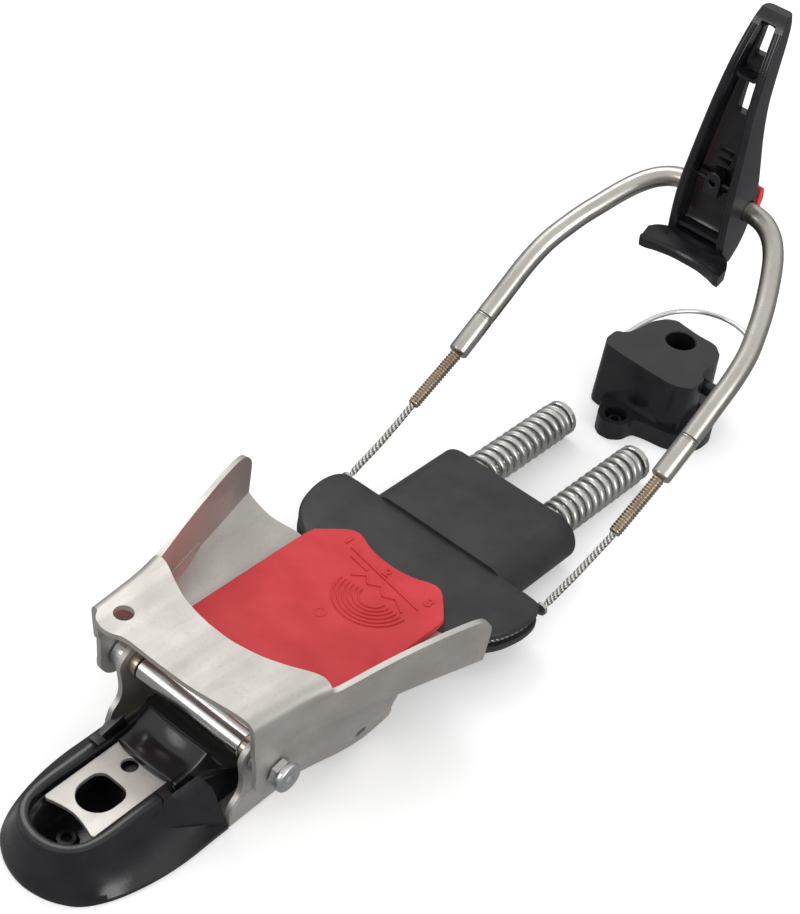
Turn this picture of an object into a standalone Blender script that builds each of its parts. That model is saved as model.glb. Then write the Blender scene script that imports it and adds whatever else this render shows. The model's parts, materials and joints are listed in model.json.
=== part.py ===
"""Touring binding: free-pivot toe unit with sprung heel loop, heel lever, heel riser and climbing wire.
X is across the ski, +Y runs from the toe to the heel, +Z is up, the origin is on the underside at the axle."""
import math

import bmesh
import bpy
from mathutils import Matrix, Vector

for ob in list(bpy.data.objects):
    bpy.data.objects.remove(ob, do_unlink=True)

MM = 0.001
GAP = 0.3

# Driving dimensions, in millimetres
AXLE_Z = 25.2            # axle height over the ski
DROOP = 2.2              # degrees the toe unit slopes down to the rear
DATUM_Z = 17.5           # height of the axle in the toe unit's own drawing
BOLT_R = 2.9
FIT = 0.15               # radial play of nuts and washers on the bolt
NUT_ACROSS = 8.6
WASHER_R = 5.6
BUSHING_R = 4.7
TUBE_R = 4.5             # axle tube
TUBE_HALF = 23.0
EAR_IN = 26.4            # inner face of the ears
EAR_T = 2.0
EAR_R = 8.0
FRAME_FRONT = -12.0
FRAME_REAR = 28.0
SHEET = 2.0              # toe plate sheet thickness
FLOOR_Z = 16.5           # middle of the toe plate floor
FLOOR_HALF = 34.0
FLOOR_REAR = 84.5
STRAP_Z = 45.0
STRAP_BEND = 3.0         # bend radius between strap and walls
STRAP_HOLE = (-25.3, -8.8, 3.4)   # place and radius
LOBE_R = 9.3             # pivot lobe of the toe plate
WALL_X = 34.8            # middle of the wall sheet at the axle
WALL_LEAN = 0.65         # how far the wall leans out across the nut
PAD_T = 2.7
PAD_HALF = 31.0
RIM_Z = 18.8             # top of the front housing
SLIDE_T = 1.6
SLIDE_TOP = 16.6
BLOCK_TOP = 17.6         # guide block
BLOCK_BOT = 8.4
CABLE_R = 1.3
CABLE_X = 46.0
CABLE_Z = 13.2
EXIT_Y = 124.0
SPRING_X = 18.0
SPRING_Z = 8.6
SPRING_R = 6.1           # mean coil radius
WIRE_R = 1.42
SPRING_FRONT = 127.6
SPRING_REAR = 220.0
COILS = 21.5
BOX_FRONT = EXIT_Y - 0.2
BOX_REAR = 164.0
BOX_TOP = 19.0
BORE_R = 8.2             # spring bores in the box
BORE_FRONT = BOX_FRONT + 3.2
LOOP_TUBE_R = 3.95
LEVER_Y = 274.9          # lever axis, over the ski
LEVER_Z = 99.2
RISER_TOP = 28.0
RISER_WIRE_R = 1.0
RISER_WIRE_Y = 268.0
RISER_WIRE_Z = 20.0


def material(name, colour, rough, metal):
    m = bpy.data.materials.new(name)
    m.use_nodes = True
    b = m.node_tree.nodes["Principled BSDF"]
    b.inputs["Base Color"].default_value = (*colour, 1)
    b.inputs["Roughness"].default_value = rough
    b.inputs["Metallic"].default_value = metal
    return m


STAINLESS = material("stainless", (0.62, 0.59, 0.55), 0.38, 1.0)
ZINC = material("zinc", (0.70, 0.74, 0.77), 0.3, 1.0)
BRONZE = material("bronze", (0.55, 0.42, 0.28), 0.45, 1.0)
GALV = material("spring_steel", (0.45, 0.45, 0.44), 0.4, 1.0)
TUBE = material("satin_tube", (0.48, 0.45, 0.41), 0.35, 1.0)
BLACK = material("black_plastic", (0.02, 0.02, 0.023), 0.4, 0.0)
SATIN = material("satin_black", (0.03, 0.03, 0.034), 0.5, 0.0)
RED = material("red_plastic", (0.75, 0.05, 0.06), 0.45, 0.0)


def empty(name, loc, rot=(0, 0, 0), parent=None):
    e = bpy.data.objects.new(name, None)
    bpy.context.scene.collection.objects.link(e)
    e.location = Vector(loc) * MM
    e.rotation_euler = rot
    e.parent = parent
    return e


def add(name, bm, mat, parent=None, shift=(0, 0, 0), smooth=None, pivot=None):
    """Finish a bmesh given in millimetres. With pivot, the object's origin goes to that point."""
    bmesh.ops.remove_doubles(bm, verts=bm.verts, dist=0.001)
    bmesh.ops.recalc_face_normals(bm, faces=bm.faces)
    off = Vector(shift) - Vector(pivot or (0, 0, 0))
    bmesh.ops.transform(bm, matrix=Matrix.Scale(MM, 4) @ Matrix.Translation(off), verts=bm.verts)
    me = bpy.data.meshes.new(name)
    bm.to_mesh(me)
    bm.free()
    me.materials.append(mat)
    ob = bpy.data.objects.new(name, me)
    bpy.context.scene.collection.objects.link(ob)
    ob.parent = parent
    ob.location = Vector(pivot or (0, 0, 0)) * MM
    if smooth is not None:
        for p in me.polygons:
            p.use_smooth = True
        me.set_sharp_from_angle(angle=math.radians(smooth))
    return ob


def cutter(ob):
    ob.hide_render = True
    ob.display_type = "WIRE"
    return ob


def boolean(ob, tool, op="DIFFERENCE"):
    m = ob.modifiers.new(tool.name, "BOOLEAN")
    m.operation = op
    m.solver = "EXACT"
    m.object = tool
    cutter(tool)


def bevel(ob, width, segments=2, angle=40):
    m = ob.modifiers.new("edges", "BEVEL")
    m.width = width * MM
    m.segments = segments
    m.limit_method = "ANGLE"
    m.angle_limit = math.radians(angle)
    m.use_clamp_overlap = True


def loft(rings, bm=None, caps=True):
    bm = bm or bmesh.new()
    vr = [[bm.verts.new(p) for p in r] for r in rings]
    n = len(rings[0])
    for a, b in zip(vr, vr[1:]):
        for i in range(n):
            j = (i + 1) % n
            bm.faces.new((a[i], a[j], b[j], b[i]))
    if caps:
        bm.faces.new(vr[0][::-1])
        bm.faces.new(vr[-1])
    return bm


def turn(profile, axis, centre, seg=24, bm=None):
    """Revolve a closed (radius, along) profile; points with radius 0 may start and end it."""
    bm = bm or bmesh.new()
    c = Vector(centre)
    frames = {"X": ((0, 1, 0), (0, 0, 1), (1, 0, 0)), "Y": ((0, 0, 1), (1, 0, 0), (0, 1, 0)),
              "Z": ((1, 0, 0), (0, 1, 0), (0, 0, 1))}
    u, v, w = (Vector(k) for k in frames[axis])
    rows = []
    for r, h in profile:
        if r == 0:
            rows.append([bm.verts.new(c + w * h)])
        else:
            rows.append([bm.verts.new(c + w * h + (u * math.cos(2 * math.pi * i / seg)
                                                   + v * math.sin(2 * math.pi * i / seg)) * r)
                         for i in range(seg)])
    closed = profile[0][0] != 0
    pairs = list(zip(rows, rows[1:])) + ([(rows[-1], rows[0])] if closed else [])
    for a, b in pairs:
        for i in range(seg):
            j = (i + 1) % seg
            if len(a) == 1:
                bm.faces.new((a[0], b[i], b[j]))
            elif len(b) == 1:
                bm.faces.new((a[i], a[j], b[0]))
            else:
                bm.faces.new((a[i], a[j], b[j], b[i]))
    return bm


def prism(points, axis, lo, hi, holes=(), bm=None):
    """Extrude a 2-D outline with round holes (u, v, r, segments) along an axis."""
    bm = bm or bmesh.new()
    place = {"X": lambda a, b, h: (h, a, b), "Y": lambda a, b, h: (a, h, b), "Z": lambda a, b, h: (a, b, h)}[axis]
    loops = [list(points)]
    for u, v, r, n in holes:
        loops.append([(u + r * math.cos(2 * math.pi * i / n), v + r * math.sin(2 * math.pi * i / n))
                      for i in range(n)])
    flat = bmesh.new()
    edges = []
    for lp in loops:
        vs = [flat.verts.new((a, b, 0)) for a, b in lp]
        edges += [flat.edges.new((vs[i], vs[(i + 1) % len(vs)])) for i in range(len(vs))]
    if len(loops) == 1:
        flat.faces.new(flat.verts[:])
    else:
        bmesh.ops.triangle_fill(flat, use_beauty=True, use_dissolve=False, edges=edges)
    flat.verts.index_update()
    low = [bm.verts.new(place(v.co.x, v.co.y, lo)) for v in flat.verts]
    high = [bm.verts.new(place(v.co.x, v.co.y, hi)) for v in flat.verts]
    for f in flat.faces:
        bm.faces.new([low[v.index] for v in f.verts])
        bm.faces.new([high[v.index] for v in reversed(f.verts)])
    base = 0
    for lp in loops:
        n = len(lp)
        for i in range(n):
            a, b = base + i, base + (i + 1) % n
            bm.faces.new((low[a], low[b], high[b], high[a]))
        base += n
    flat.free()
    return bm


def smooth_path(points, per=6):
    """Catmull-Rom through the points."""
    p = [Vector(q) for q in points]
    p = [p[0] * 2 - p[1]] + p + [p[-1] * 2 - p[-2]]
    out = []
    for i in range(1, len(p) - 2):
        for k in range(per):
            t = k / per
            a, b, c, d = p[i - 1], p[i], p[i + 1], p[i + 2]
            out.append(0.5 * ((2 * b) + (c - a) * t + (2 * a - 5 * b + 4 * c - d) * t * t
                              + (3 * b - a - 3 * c + d) * t ** 3))
    out.append(p[-2])
    return out


def sweep(path, radius, sides=10, bm=None):
    path = [Vector(q) for q in path]
    rings = []
    t0 = (path[1] - path[0]).normalized()
    ref = Vector((0, 0, 1)) if abs(t0.z) < 0.9 else Vector((1, 0, 0))
    u = t0.cross(ref).normalized()
    for i, q in enumerate(path):
        a = path[max(i - 1, 0)]
        b = path[min(i + 1, len(path) - 1)]
        t = (b - a).normalized()
        u = (u - t * u.dot(t)).normalized()
        v = t.cross(u)
        r = radius[i] if isinstance(radius, list) else radius
        rings.append([q + (u * math.cos(2 * math.pi * k / sides) + v * math.sin(2 * math.pi * k / sides)) * r
                      for k in range(sides)])
    return loft(rings, bm)


def hexagon(across, cy, cz, turn_by=0.0):
    r = across / math.sqrt(3)
    return [(cy + r * math.cos(math.radians(60 * i + turn_by)), cz + r * math.sin(math.radians(60 * i + turn_by)))
            for i in range(6)]


def box(lo, hi, bm=None):
    return prism([(lo[0], lo[1]), (hi[0], lo[1]), (hi[0], hi[1]), (lo[0], hi[1])], "Z", lo[2], hi[2], bm=bm)


def both(points):
    """Mirror a half outline (x >= 0, front to rear) to a full loop."""
    return points + [(-x, y) for x, y in reversed(points) if x > 0]


# ------------------------------------------------------------------ base: front housing
HOUSING_HALF = 28.8
HOUSING_REAR = FRAME_FRONT - GAP
FOOT = [(0, -72.6), (7, -71.6), (13, -69.2), (18.5, -65.2), (22.8, -58.4), (25.8, -50), (27.9, -40), (28.8, -30),
        (28.8, -20), (HOUSING_HALF, HOUSING_REAR)]
RIM = [(0, -68.4), (5.8, -67.4), (10.8, -64.6), (14.2, -60), (15.8, -54), (16.3, -47), (16.3, -41), (16.4, -33),
       (16.8, -25), (17.5, HOUSING_REAR)]
WAIST = [(0, -70.2), (6.4, -69.2), (11.8, -66.4), (15.8, -61.8), (18.2, -55), (19, -47), (19.4, -39), (20, -31),
         (21, -22), (22.5, HOUSING_REAR)]


def ring(half, z):
    return [(x, y, z) for x, y in both(half)]


SHELF = [(0, -63.3), (4.3, -62.6), (8.4, -60.4), (11, -57), (12, -52.5), (12.2, -47), (12.2, -41), (12.2, -34),
         (12.2, -28), (12.2, -13.5)]
WELL = [(0, -61.4), (3.6, -60.8), (6.6, -59), (8.4, -56), (9, -52), (9, -47), (9, -41), (9, -34), (9, -29.5),
        (9, -28.5)]
SHELF_Z = SLIDE_TOP - SLIDE_T - GAP
housing = loft([ring(FOOT, 0), ring(FOOT, 4.5), ring(WAIST, 9), ring(WAIST, 13), ring(RIM, RIM_Z - 1.2),
                ring([(x * 0.96, y + 0.6 if y < -30 else y) for x, y in RIM], RIM_Z),
                ring([(x * 1.03, y - 0.3 if y < -30 else y) for x, y in SHELF], RIM_Z),
                ring(SHELF, RIM_Z - 0.6), ring(SHELF, SHELF_Z), ring(WELL, SHELF_Z), ring(WELL, 3.2)])
toe_housing = add("toe_housing", housing, BLACK, smooth=32)
HOOD = [(-23.5, 10), (-23.5, RIM_Z + 0.6), (-21, 21.2), (-16.5, 22.2), (-11.5, 22.0), (-9.2, 19.5), (-8.8, 16.0),
        (-4, 12.5), (6, 11.5), (9, 9), (9, 2.6), (-11.9, 2.6), (-12.2, 10)]
hood = prism(HOOD, "X", -25.9, 25.9)
for v in hood.verts:
    if v.co.z > 17.5:
        v.co.x *= 0.62
    elif v.co.z > 11:
        v.co.x *= 0.86
hood_tool = add("hood_block", hood, BLACK)
boolean(toe_housing, hood_tool, "UNION")
slot_tool = add("slide_slot", box((-11.7, -40, SHELF_Z), (11.7, -12.6, SLIDE_TOP + GAP)), BLACK)
boolean(toe_housing, slot_tool)
bevel(toe_housing, 0.5, 1, 50)

# ------------------------------------------------------------------ base: mode slide
slide_outline = both([(0, -51.8), (4, -52.2), (8, -53.2), (11, -53.4), (11.3, -52), (11.3, -21), (10.5, -20),
                      (0, -20)])
hole = [(0, -48.0), (3.4, -47.2), (6.0, -45), (7.2, -42), (7.2, -36.5), (6.2, -34.4), (5, -33.9), (0, -33.9)]
loops = [slide_outline, both(hole), [(2.9 * math.cos(math.radians(30 * i)), -26.4 + 2.9
                                      * math.sin(math.radians(30 * i))) for i in range(12)]]


def sheet_with_loops(loops, lo, hi):
    flat = bmesh.new()
    edges = []
    sizes = []
    for lp in loops:
        vs = [flat.verts.new((a, b, 0)) for a, b in lp]
        sizes.append(len(vs))
        edges += [flat.edges.new((vs[i], vs[(i + 1) % len(vs)])) for i in range(len(vs))]
    bmesh.ops.triangle_fill(flat, use_beauty=True, use_dissolve=False, edges=edges)
    flat.verts.index_update()
    bm = bmesh.new()
    low = [bm.verts.new((v.co.x, v.co.y, lo)) for v in flat.verts]
    high = [bm.verts.new((v.co.x, v.co.y, hi)) for v in flat.verts]
    for f in flat.faces:
        bm.faces.new([low[v.index] for v in f.verts])
        bm.faces.new([high[v.index] for v in reversed(f.verts)])
    base = 0
    for n in sizes:
        for i in range(n):
            a, b = base + i, base + (i + 1) % n
            bm.faces.new((low[a], low[b], high[b], high[a]))
        base += n
    flat.free()
    return bm


mode_slide = add("mode_slide", sheet_with_loops(loops, SLIDE_TOP - SLIDE_T, SLIDE_TOP), STAINLESS,
                 pivot=(0, -40, SLIDE_TOP))

# ------------------------------------------------------------------ base: pivot frame
ear = []
for i in range(13):
    a = math.radians(170 - i * 14)
    ear.append((EAR_R * math.cos(a), AXLE_Z + EAR_R * math.sin(a)))
flank = [(FRAME_FRONT, 0), (FRAME_FRONT, 5.5), (-10, 9.4), (-6.6, 12.5), (-6.4, 19)] + ear + \
        [(9.4, 17), (13, 12.5), (22, 11), (FRAME_REAR, 7), (FRAME_REAR, 0)]
frame_x = EAR_IN + EAR_T
pf = prism(flank, "X", EAR_IN, frame_x, holes=[(0, AXLE_Z, BOLT_R + GAP, 20)])
pivot_frame = add("pivot_frame", pf, STAINLESS)
other = add("pivot_frame_flank", prism(flank, "X", -frame_x, -EAR_IN, holes=[(0, AXLE_Z, BOLT_R + GAP, 20)]),
            STAINLESS)
web = add("pivot_frame_floor", box((-EAR_IN - 1, FRAME_FRONT, 0), (EAR_IN + 1, FRAME_REAR, EAR_T - 0.1)), STAINLESS)
boolean(pivot_frame, web, "UNION")
boolean(pivot_frame, other, "UNION")
bevel(pivot_frame, 0.35, 1, 50)


def screw(name, x, y, z0, z1, head_r, head_h, shank_r):
    """Button screw with a socket, head on top."""
    prof = [(0, z0), (shank_r, z0), (shank_r, z1), (head_r * 0.97, z1), (head_r, z1 + head_h * 0.35),
            (head_r * 0.72, z1 + head_h), (head_r * 0.42, z1 + head_h), (head_r * 0.42, z1 + head_h * 0.35),
            (0, z1 + head_h * 0.35)]
    return add(name, turn(prof, "Z", (x, y, 0), 12), ZINC, smooth=30)


HOLE_Y = 19.0
for tag, sx in (("left", -14), ("right", 14)):
    screw("frame_screw_" + tag, sx, HOLE_Y, EAR_T - 0.1 + GAP, EAR_T + 0.6, 4.4, 2.6, 2.2)
screw("housing_screw", 0, -54.5, 3.2 + GAP, 4.2, 4.3, 2.8, 2.2)

# ------------------------------------------------------------------ base: axle
AX = (0, 0, AXLE_Z)
NUT_IN = WALL_X + SHEET / 2 + WALL_LEAN + GAP
NUT_T = 2.4
HEAD_IN = NUT_IN + NUT_T + GAP
HEAD_T = 2.3
BOLT_END = -NUT_IN - NUT_T - 1.2
bolt_profile = [(0, BOLT_END), (BOLT_R - 0.4, BOLT_END), (BOLT_R, BOLT_END + 0.4), (BOLT_R, HEAD_IN),
                (4.8, HEAD_IN), (5.2, HEAD_IN + 0.4), (5.2, HEAD_IN + HEAD_T - 0.5), (4.7, HEAD_IN + HEAD_T),
                (1.8, HEAD_IN + HEAD_T), (1.8, HEAD_IN + 0.6), (0, HEAD_IN + 0.6)]
add("axle_bolt", turn(bolt_profile, "X", AX, 28), ZINC, smooth=30)


def nut(name, lo, hi):
    bm = prism(hexagon(NUT_ACROSS, 0, AXLE_Z, 12), "X", lo, hi, holes=[(0, AXLE_Z, BOLT_R + FIT, 20)])
    return add(name, bm, ZINC)


nut("axle_nut_right", NUT_IN, NUT_IN + NUT_T)
nut("axle_nut_left", -NUT_IN - NUT_T, -NUT_IN)


def washer(name, lo, hi, r_out, r_in, mat):
    bm = turn([(r_in, lo), (r_out, lo), (r_out, hi), (r_in, hi)], "X", AX, 28)
    return add(name, bm, mat, smooth=30)


WASHER_IN, WASHER_OUT = frame_x + GAP, WALL_X - SHEET / 2 - GAP
washer("axle_washer_right", WASHER_IN, WASHER_OUT, WASHER_R, BOLT_R + FIT, BRONZE)
washer("axle_washer_left", -WASHER_OUT, -WASHER_IN, WASHER_R, BOLT_R + FIT, BRONZE)
washer("pivot_bushing_right", TUBE_HALF + GAP, EAR_IN - GAP, BUSHING_R, BOLT_R + FIT, BRONZE)
washer("pivot_bushing_left", -EAR_IN + GAP, -TUBE_HALF - GAP, BUSHING_R, BOLT_R + FIT, BRONZE)

# ------------------------------------------------------------------ toe unit, drawn level and hung on the axle
toe = empty("toe_pivot", AX, (-math.radians(DROOP), 0, 0))
DROP = (0, 0, -DATUM_Z)


def toe_part(name, bm, mat, smooth=None, pivot=None):
    if pivot:
        pivot = (pivot[0], pivot[1], pivot[2] - DATUM_Z)
    return add(name, bm, mat, toe, DROP, smooth, pivot)


AXT = (0, 0, DATUM_Z)
toe_part("axle_tube", turn([(BOLT_R + GAP, -TUBE_HALF), (TUBE_R, -TUBE_HALF), (TUBE_R, TUBE_HALF),
                            (BOLT_R + GAP, TUBE_HALF)], "X", AXT, 28), STAINLESS, smooth=30)

CREASE_Z = FLOOR_Z + 11.3
# along the plate: y, then half width at the crease, half width and height of the wall's top edge
CREASE_X = [(-11, WALL_X), (9.5, WALL_X + 0.6), (18, 38.2), (32, 42), (57, 48.2), (69, 51.6), (78, 54)]
TOP_X = [(-13, WALL_X), (9.5, 37.0), (18, 39.2), (32, 43.0), (46, 46.6), (60, 50.4), (71, 53.2), (79, 54.4)]
TOP_Z = [(-13, STRAP_Z - STRAP_BEND), (18, STRAP_Z - STRAP_BEND), (22, STRAP_Z - 2.8), (32, STRAP_Z - 0.4),
         (46, STRAP_Z + 1.6), (60, STRAP_Z + 2.8), (71, STRAP_Z + 2.8), (75.4, STRAP_Z + 1.4),
         (78.4, STRAP_Z - 3)]
STRAP_FRONT = [(-1.0, -13.5), (-0.98, -15.6), (-0.9, -17.4), (-0.8, -18.4), (-0.68, -18.2), (-0.58, -16.2),
               (-0.48, -15.8), (-0.12, -16), (0.36, -15.6), (0.64, -14.2), (0.86, -13.2), (1.0, -13.0)]
STRAP_REAR = [(-1.0, 17.9), (-0.89, 17.0), (-0.72, 13.6), (-0.47, 9.8), (-0.17, 7.6), (0.17, 7.6), (0.47, 9.8),
              (0.72, 13.6), (0.89, 17.0), (1.0, 17.9)]
# columns of the sheet: y on the floor, at the crease and along the top edge
COLUMNS = [(None, -10.7, -12.6), (None, -3.5, -5), (None, 3.5, 3), (10.2, 10.5, 11), (17.5, 17.5, 17.9), (22, 22, 22),
           (32, 32, 32), (46, 46, 46), (60, 60, 60), (70, 69, 71), (78, 74.4, 75.4), (FLOOR_REAR, 77.7, 78.4)]
STRAP_COLUMNS = 4
FLOOR_BEND = 3.0


def along(table, y):
    """Value at y on the line through (y, value) pairs."""
    for (a, p), (b, q) in zip(table, table[1:]):
        if y <= b:
            return p + (q - p) * max(0.0, (y - a) / (b - a))
    return table[-1][1]


def toe_surface():
    """Middle surface of the sheet: floor, sloped sides, walls and the strap over the front."""
    bm = bmesh.new()
    made = {}

    def vert(key, x, y, z):
        if key not in made:
            made[key] = bm.verts.new((x, y, z))
        return made[key]

    def quad(keys):
        bm.faces.new([made[k] for k in keys])

    last = len(COLUMNS) - 1
    for i, (yf, yc, yt) in enumerate(COLUMNS):
        for s in (-1, 1):
            cx, tx, tz = along(CREASE_X, yc), along(TOP_X, yt), along(TOP_Z, yt)
            rows = [("crease", cx, yc, CREASE_Z), ("wall", cx * 0.6 + tx * 0.4, yc * 0.6 + yt * 0.4,
                                                   CREASE_Z * 0.6 + tz * 0.4 if i < last else CREASE_Z + 5),
                    ("top", tx, yt, tz)]
            if yf is not None:
                scoop = 3.0 if i == last else 0.0
                rows += [("slope", cx * 0.45 + (FLOOR_HALF + 0.6) * 0.55, yc * 0.45 + yf * 0.55 - scoop,
                          CREASE_Z * 0.45 + FLOOR_Z * 0.55),
                         ("bend", FLOOR_HALF + 0.6, yf, FLOOR_Z + 1.6), ("edge", FLOOR_HALF - 2.2, yf, FLOOR_Z)]
            for tag, x, y, z in rows:
                vert((tag, s, i), s * x, y, z)
        if yf is not None:
            y_step = yf - 5.5 if i == 3 else yf
            for s in (-1, 1):
                vert(("side", s, i), s * 25.2, yf, FLOOR_Z)
                vert(("mid", s, i), s * 25.0, y_step, FLOOR_Z)
    for i in range(last):
        for s in (-1, 1):
            low = ["wall", "top"]
            chain = ["crease"] + low
            if COLUMNS[i][0] is not None:
                chain = ["side", "edge", "bend", "slope"] + chain
            for a, b in zip(chain, chain[1:]):
                quad([(a, s, i), (a, s, i + 1), (b, s, i + 1), (b, s, i)][::s])
        if COLUMNS[i][0] is not None:
            pair = ["mid", "mid"] if i == 3 else ["side", "side"]
            quad([(pair[0], -1, i), ("side", -1, i + 1), ("side", 1, i + 1), (pair[0], 1, i)])
    # strap: bends up from both walls, then across
    shares = [-1.0, -0.9, -0.8, -0.68, -0.58, -0.48, -0.12, 0.17, 0.47, 0.72, 0.89, 1.0]
    for i in range(STRAP_COLUMNS + 1):
        t = i / STRAP_COLUMNS
        for s in (-1, 1):
            y_wall = COLUMNS[i][2]
            tx = along(TOP_X, y_wall) - STRAP_BEND
            y_in = along(STRAP_FRONT, s) * (1 - t) + along(STRAP_REAR, s) * t
            for k, deg in enumerate((30, 60)):
                w = (k + 1) / 3
                vert(("bend%d" % k, s, i), s * (tx + STRAP_BEND * math.cos(math.radians(deg))),
                     y_wall * (1 - w) + y_in * w, STRAP_Z - STRAP_BEND * (1 - math.sin(math.radians(deg))))
        for f in shares:
            y = along(STRAP_FRONT, f) * (1 - t) + along(STRAP_REAR, f) * t
            x = f * (along(TOP_X, COLUMNS[i][2]) - STRAP_BEND)
            vert(("strap", f, i), x, y, STRAP_Z)
    for i in range(STRAP_COLUMNS):
        chain = [("top", -1), ("bend0", -1), ("bend1", -1)] + [("strap", f) for f in shares] + \
            [("bend1", 1), ("bend0", 1), ("top", 1)]
        for a, b in zip(chain, chain[1:]):
            quad([(*a, i), (*b, i), (*b, i + 1), (*a, i + 1)])
    return bm


toe_plate = toe_part("toe_plate", toe_surface(), STAINLESS)
m = toe_plate.modifiers.new("sheet", "SOLIDIFY")
m.thickness = SHEET * MM
m.offset = 0
m.use_even_offset = True


def wall_x(y, z):
    """Middle of the wall sheet below the crease, where it runs on down as a cheek."""
    k = (z + 1.5) / (CREASE_Z + 1.5)
    return WALL_X + (along(CREASE_X, y) - WALL_X) * k


lobe = [(LOBE_R * math.sin(math.radians(a)), DATUM_Z - LOBE_R * math.cos(math.radians(a)))
        for a in range(-100, 16, 23)]
CHEEK = [(-10.3, CREASE_Z + 2)] + lobe + [(12, 7.2), (21, 5.4), (32, 1.8), (43, -1.4), (48.2, -1.2), (51, 2), (52, 6),
                                          (50, 11.5), (46.6, 19), (44.5, CREASE_Z + 2)]
for tag, s in (("left", -1), ("right", 1)):
    half = SHEET / 2 - 0.03
    bm = prism(CHEEK, "X", -half, half, holes=[(0, DATUM_Z, BOLT_R + GAP, 20)])
    bmesh.ops.triangulate(bm, faces=[f for f in bm.faces if len(f.verts) > 4])
    for v in bm.verts:
        v.co.x += s * wall_x(v.co.y, v.co.z)
    cheek = toe_part("toe_cheek_" + tag, bm, STAINLESS)
    boolean(toe_plate, cheek, "UNION")
hole_r = STRAP_HOLE[2]
hole_tool = toe_part("strap_hole", turn([(0, STRAP_Z - 6), (hole_r, STRAP_Z - 6), (hole_r, STRAP_Z + 6),
                                         (0, STRAP_Z + 6)], "Z", (*STRAP_HOLE[:2], 0), 20), STAINLESS)
boolean(toe_plate, hole_tool)

PAD_BOT = FLOOR_Z + SHEET / 2 + GAP
pad_outline = both([(0, 11), (PAD_HALF, 11), (PAD_HALF, 82), (30.4, 88), (20.8, 98.6), (16.4, 99), (12, 97.0),
                    (6, 95.2), (0, 94.7)])
toe_pad = toe_part("toe_pad", prism(pad_outline, "Z", PAD_BOT, PAD_BOT + PAD_T), RED)
bevel(toe_pad, 0.4, 2, 40)

LOBE = [(0, FLOOR_REAR + 0.5), (30, FLOOR_REAR + 0.5), (36, 88.6), (42, 93.6), (46.2, 100), (48.4, 107.5),
        (49, 114), (48, 119.6), (45.2, 122.8), (40, EXIT_Y - 0.6), (0, EXIT_Y - 0.6)]


def shrink(half, d):
    out = []
    for x, y in half:
        out.append((x if x < 31 else x - d * (0.45 + 0.55 * min(1, (x - 31) / 12)),
                    y + d * max(0, min(1, (104 - y) / 20)) - d * max(0, min(1, (y - 112) / 10))))
    return out


GROOVE_LO, GROOVE_HI, GROOVE_D = CABLE_Z - 1.75, CABLE_Z + 1.75, 3.1
block = loft([ring(shrink(LOBE, 0.9), BLOCK_BOT), ring(LOBE, BLOCK_BOT + 0.8), ring(LOBE, GROOVE_LO),
              ring(shrink(LOBE, GROOVE_D), GROOVE_LO), ring(shrink(LOBE, GROOVE_D), GROOVE_HI),
              ring(LOBE, GROOVE_HI), ring(LOBE, BLOCK_TOP - 1.3), ring(shrink(LOBE, 0.5), BLOCK_TOP - 0.4),
              ring(shrink(LOBE, 1.4), BLOCK_TOP)])
guide_block = toe_part("guide_block", block, SATIN, smooth=40)
tongue = toe_part("guide_tongue", box((-24, 58.5, BLOCK_BOT), (24, FLOOR_REAR + 4, FLOOR_Z - SHEET / 2 - GAP)),
                  SATIN)
boolean(guide_block, tongue, "UNION")
for tag, sx in (("left", -13), ("right", 13)):
    prof = [(0, BLOCK_BOT - 0.3), (4.2, BLOCK_BOT - 0.3), (4.2, BLOCK_BOT - 1.4), (3.2, BLOCK_BOT - 2.4),
            (1.7, BLOCK_BOT - 2.4), (1.7, BLOCK_BOT - 1.3), (0, BLOCK_BOT - 1.3)]
    toe_part("guide_screw_" + tag, turn(prof, "Z", (sx, 70, 0), 18), ZINC, smooth=30)

# wrapped part of each cable, lying in the groove round the lobe
WRAP = shrink(LOBE, GROOVE_D - CABLE_R - 0.65)[8:1:-1]
WRAP = [(WRAP[0][0] + 0.2, 121.4)] + WRAP[1:] + [(31.5, WRAP[-1][1] - 2.0)]
for tag, s in (("left", -1), ("right", 1)):
    path = [(s * x, y, CABLE_Z) for x, y in WRAP]
    toe_part("cable_wrap_" + tag, sweep(smooth_path(path, 2), CABLE_R, 8), GALV, smooth=60)

# ------------------------------------------------------------------ spring box, springs, caps
BOX_R = 9.95
BOX_C = BOX_TOP - BOX_R
sect = []
for i in range(9):
    a = math.radians(90 - 22.5 * i)
    sect.append((22.8 + BOX_R * math.cos(a) * 0.98, BOX_C + BOX_R * math.sin(a)))
sect = sect + [(-x, z) for x, z in reversed(sect)]
spring_box = toe_part("spring_box", prism(sect, "Y", BOX_FRONT, BOX_REAR), SATIN, smooth=40)
bores = bmesh.new()
for s in (-1, 1):
    turn([(0, BORE_FRONT), (BORE_R, BORE_FRONT), (BORE_R, BOX_REAR + 8), (0, BOX_REAR + 8)], "Y",
         (s * SPRING_X, 0, SPRING_Z), 28, bores)
spring_bores = toe_part("spring_bores", bores, SATIN)
boolean(spring_box, spring_bores)
bevel(spring_box, 0.35, 1, 60)


def helix(s):
    pts = []
    length = SPRING_REAR - SPRING_FRONT - 2 * WIRE_R
    steps = int(COILS * 10)
    for i in range(steps + 1):
        t = i / steps * COILS
        dead = 1.25
        closed = 2.05 * WIRE_R
        pitch = (length - 2 * dead * closed) / (COILS - 2 * dead)
        if t < dead:
            y = t * closed
        elif t > COILS - dead:
            y = length - (COILS - t) * closed
        else:
            y = dead * closed + (t - dead) * pitch
        a = 2 * math.pi * t
        pts.append((s * (SPRING_X + SPRING_R * math.cos(a)), SPRING_FRONT + WIRE_R + y,
                    SPRING_Z + SPRING_R * math.sin(a)))
    return pts


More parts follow.
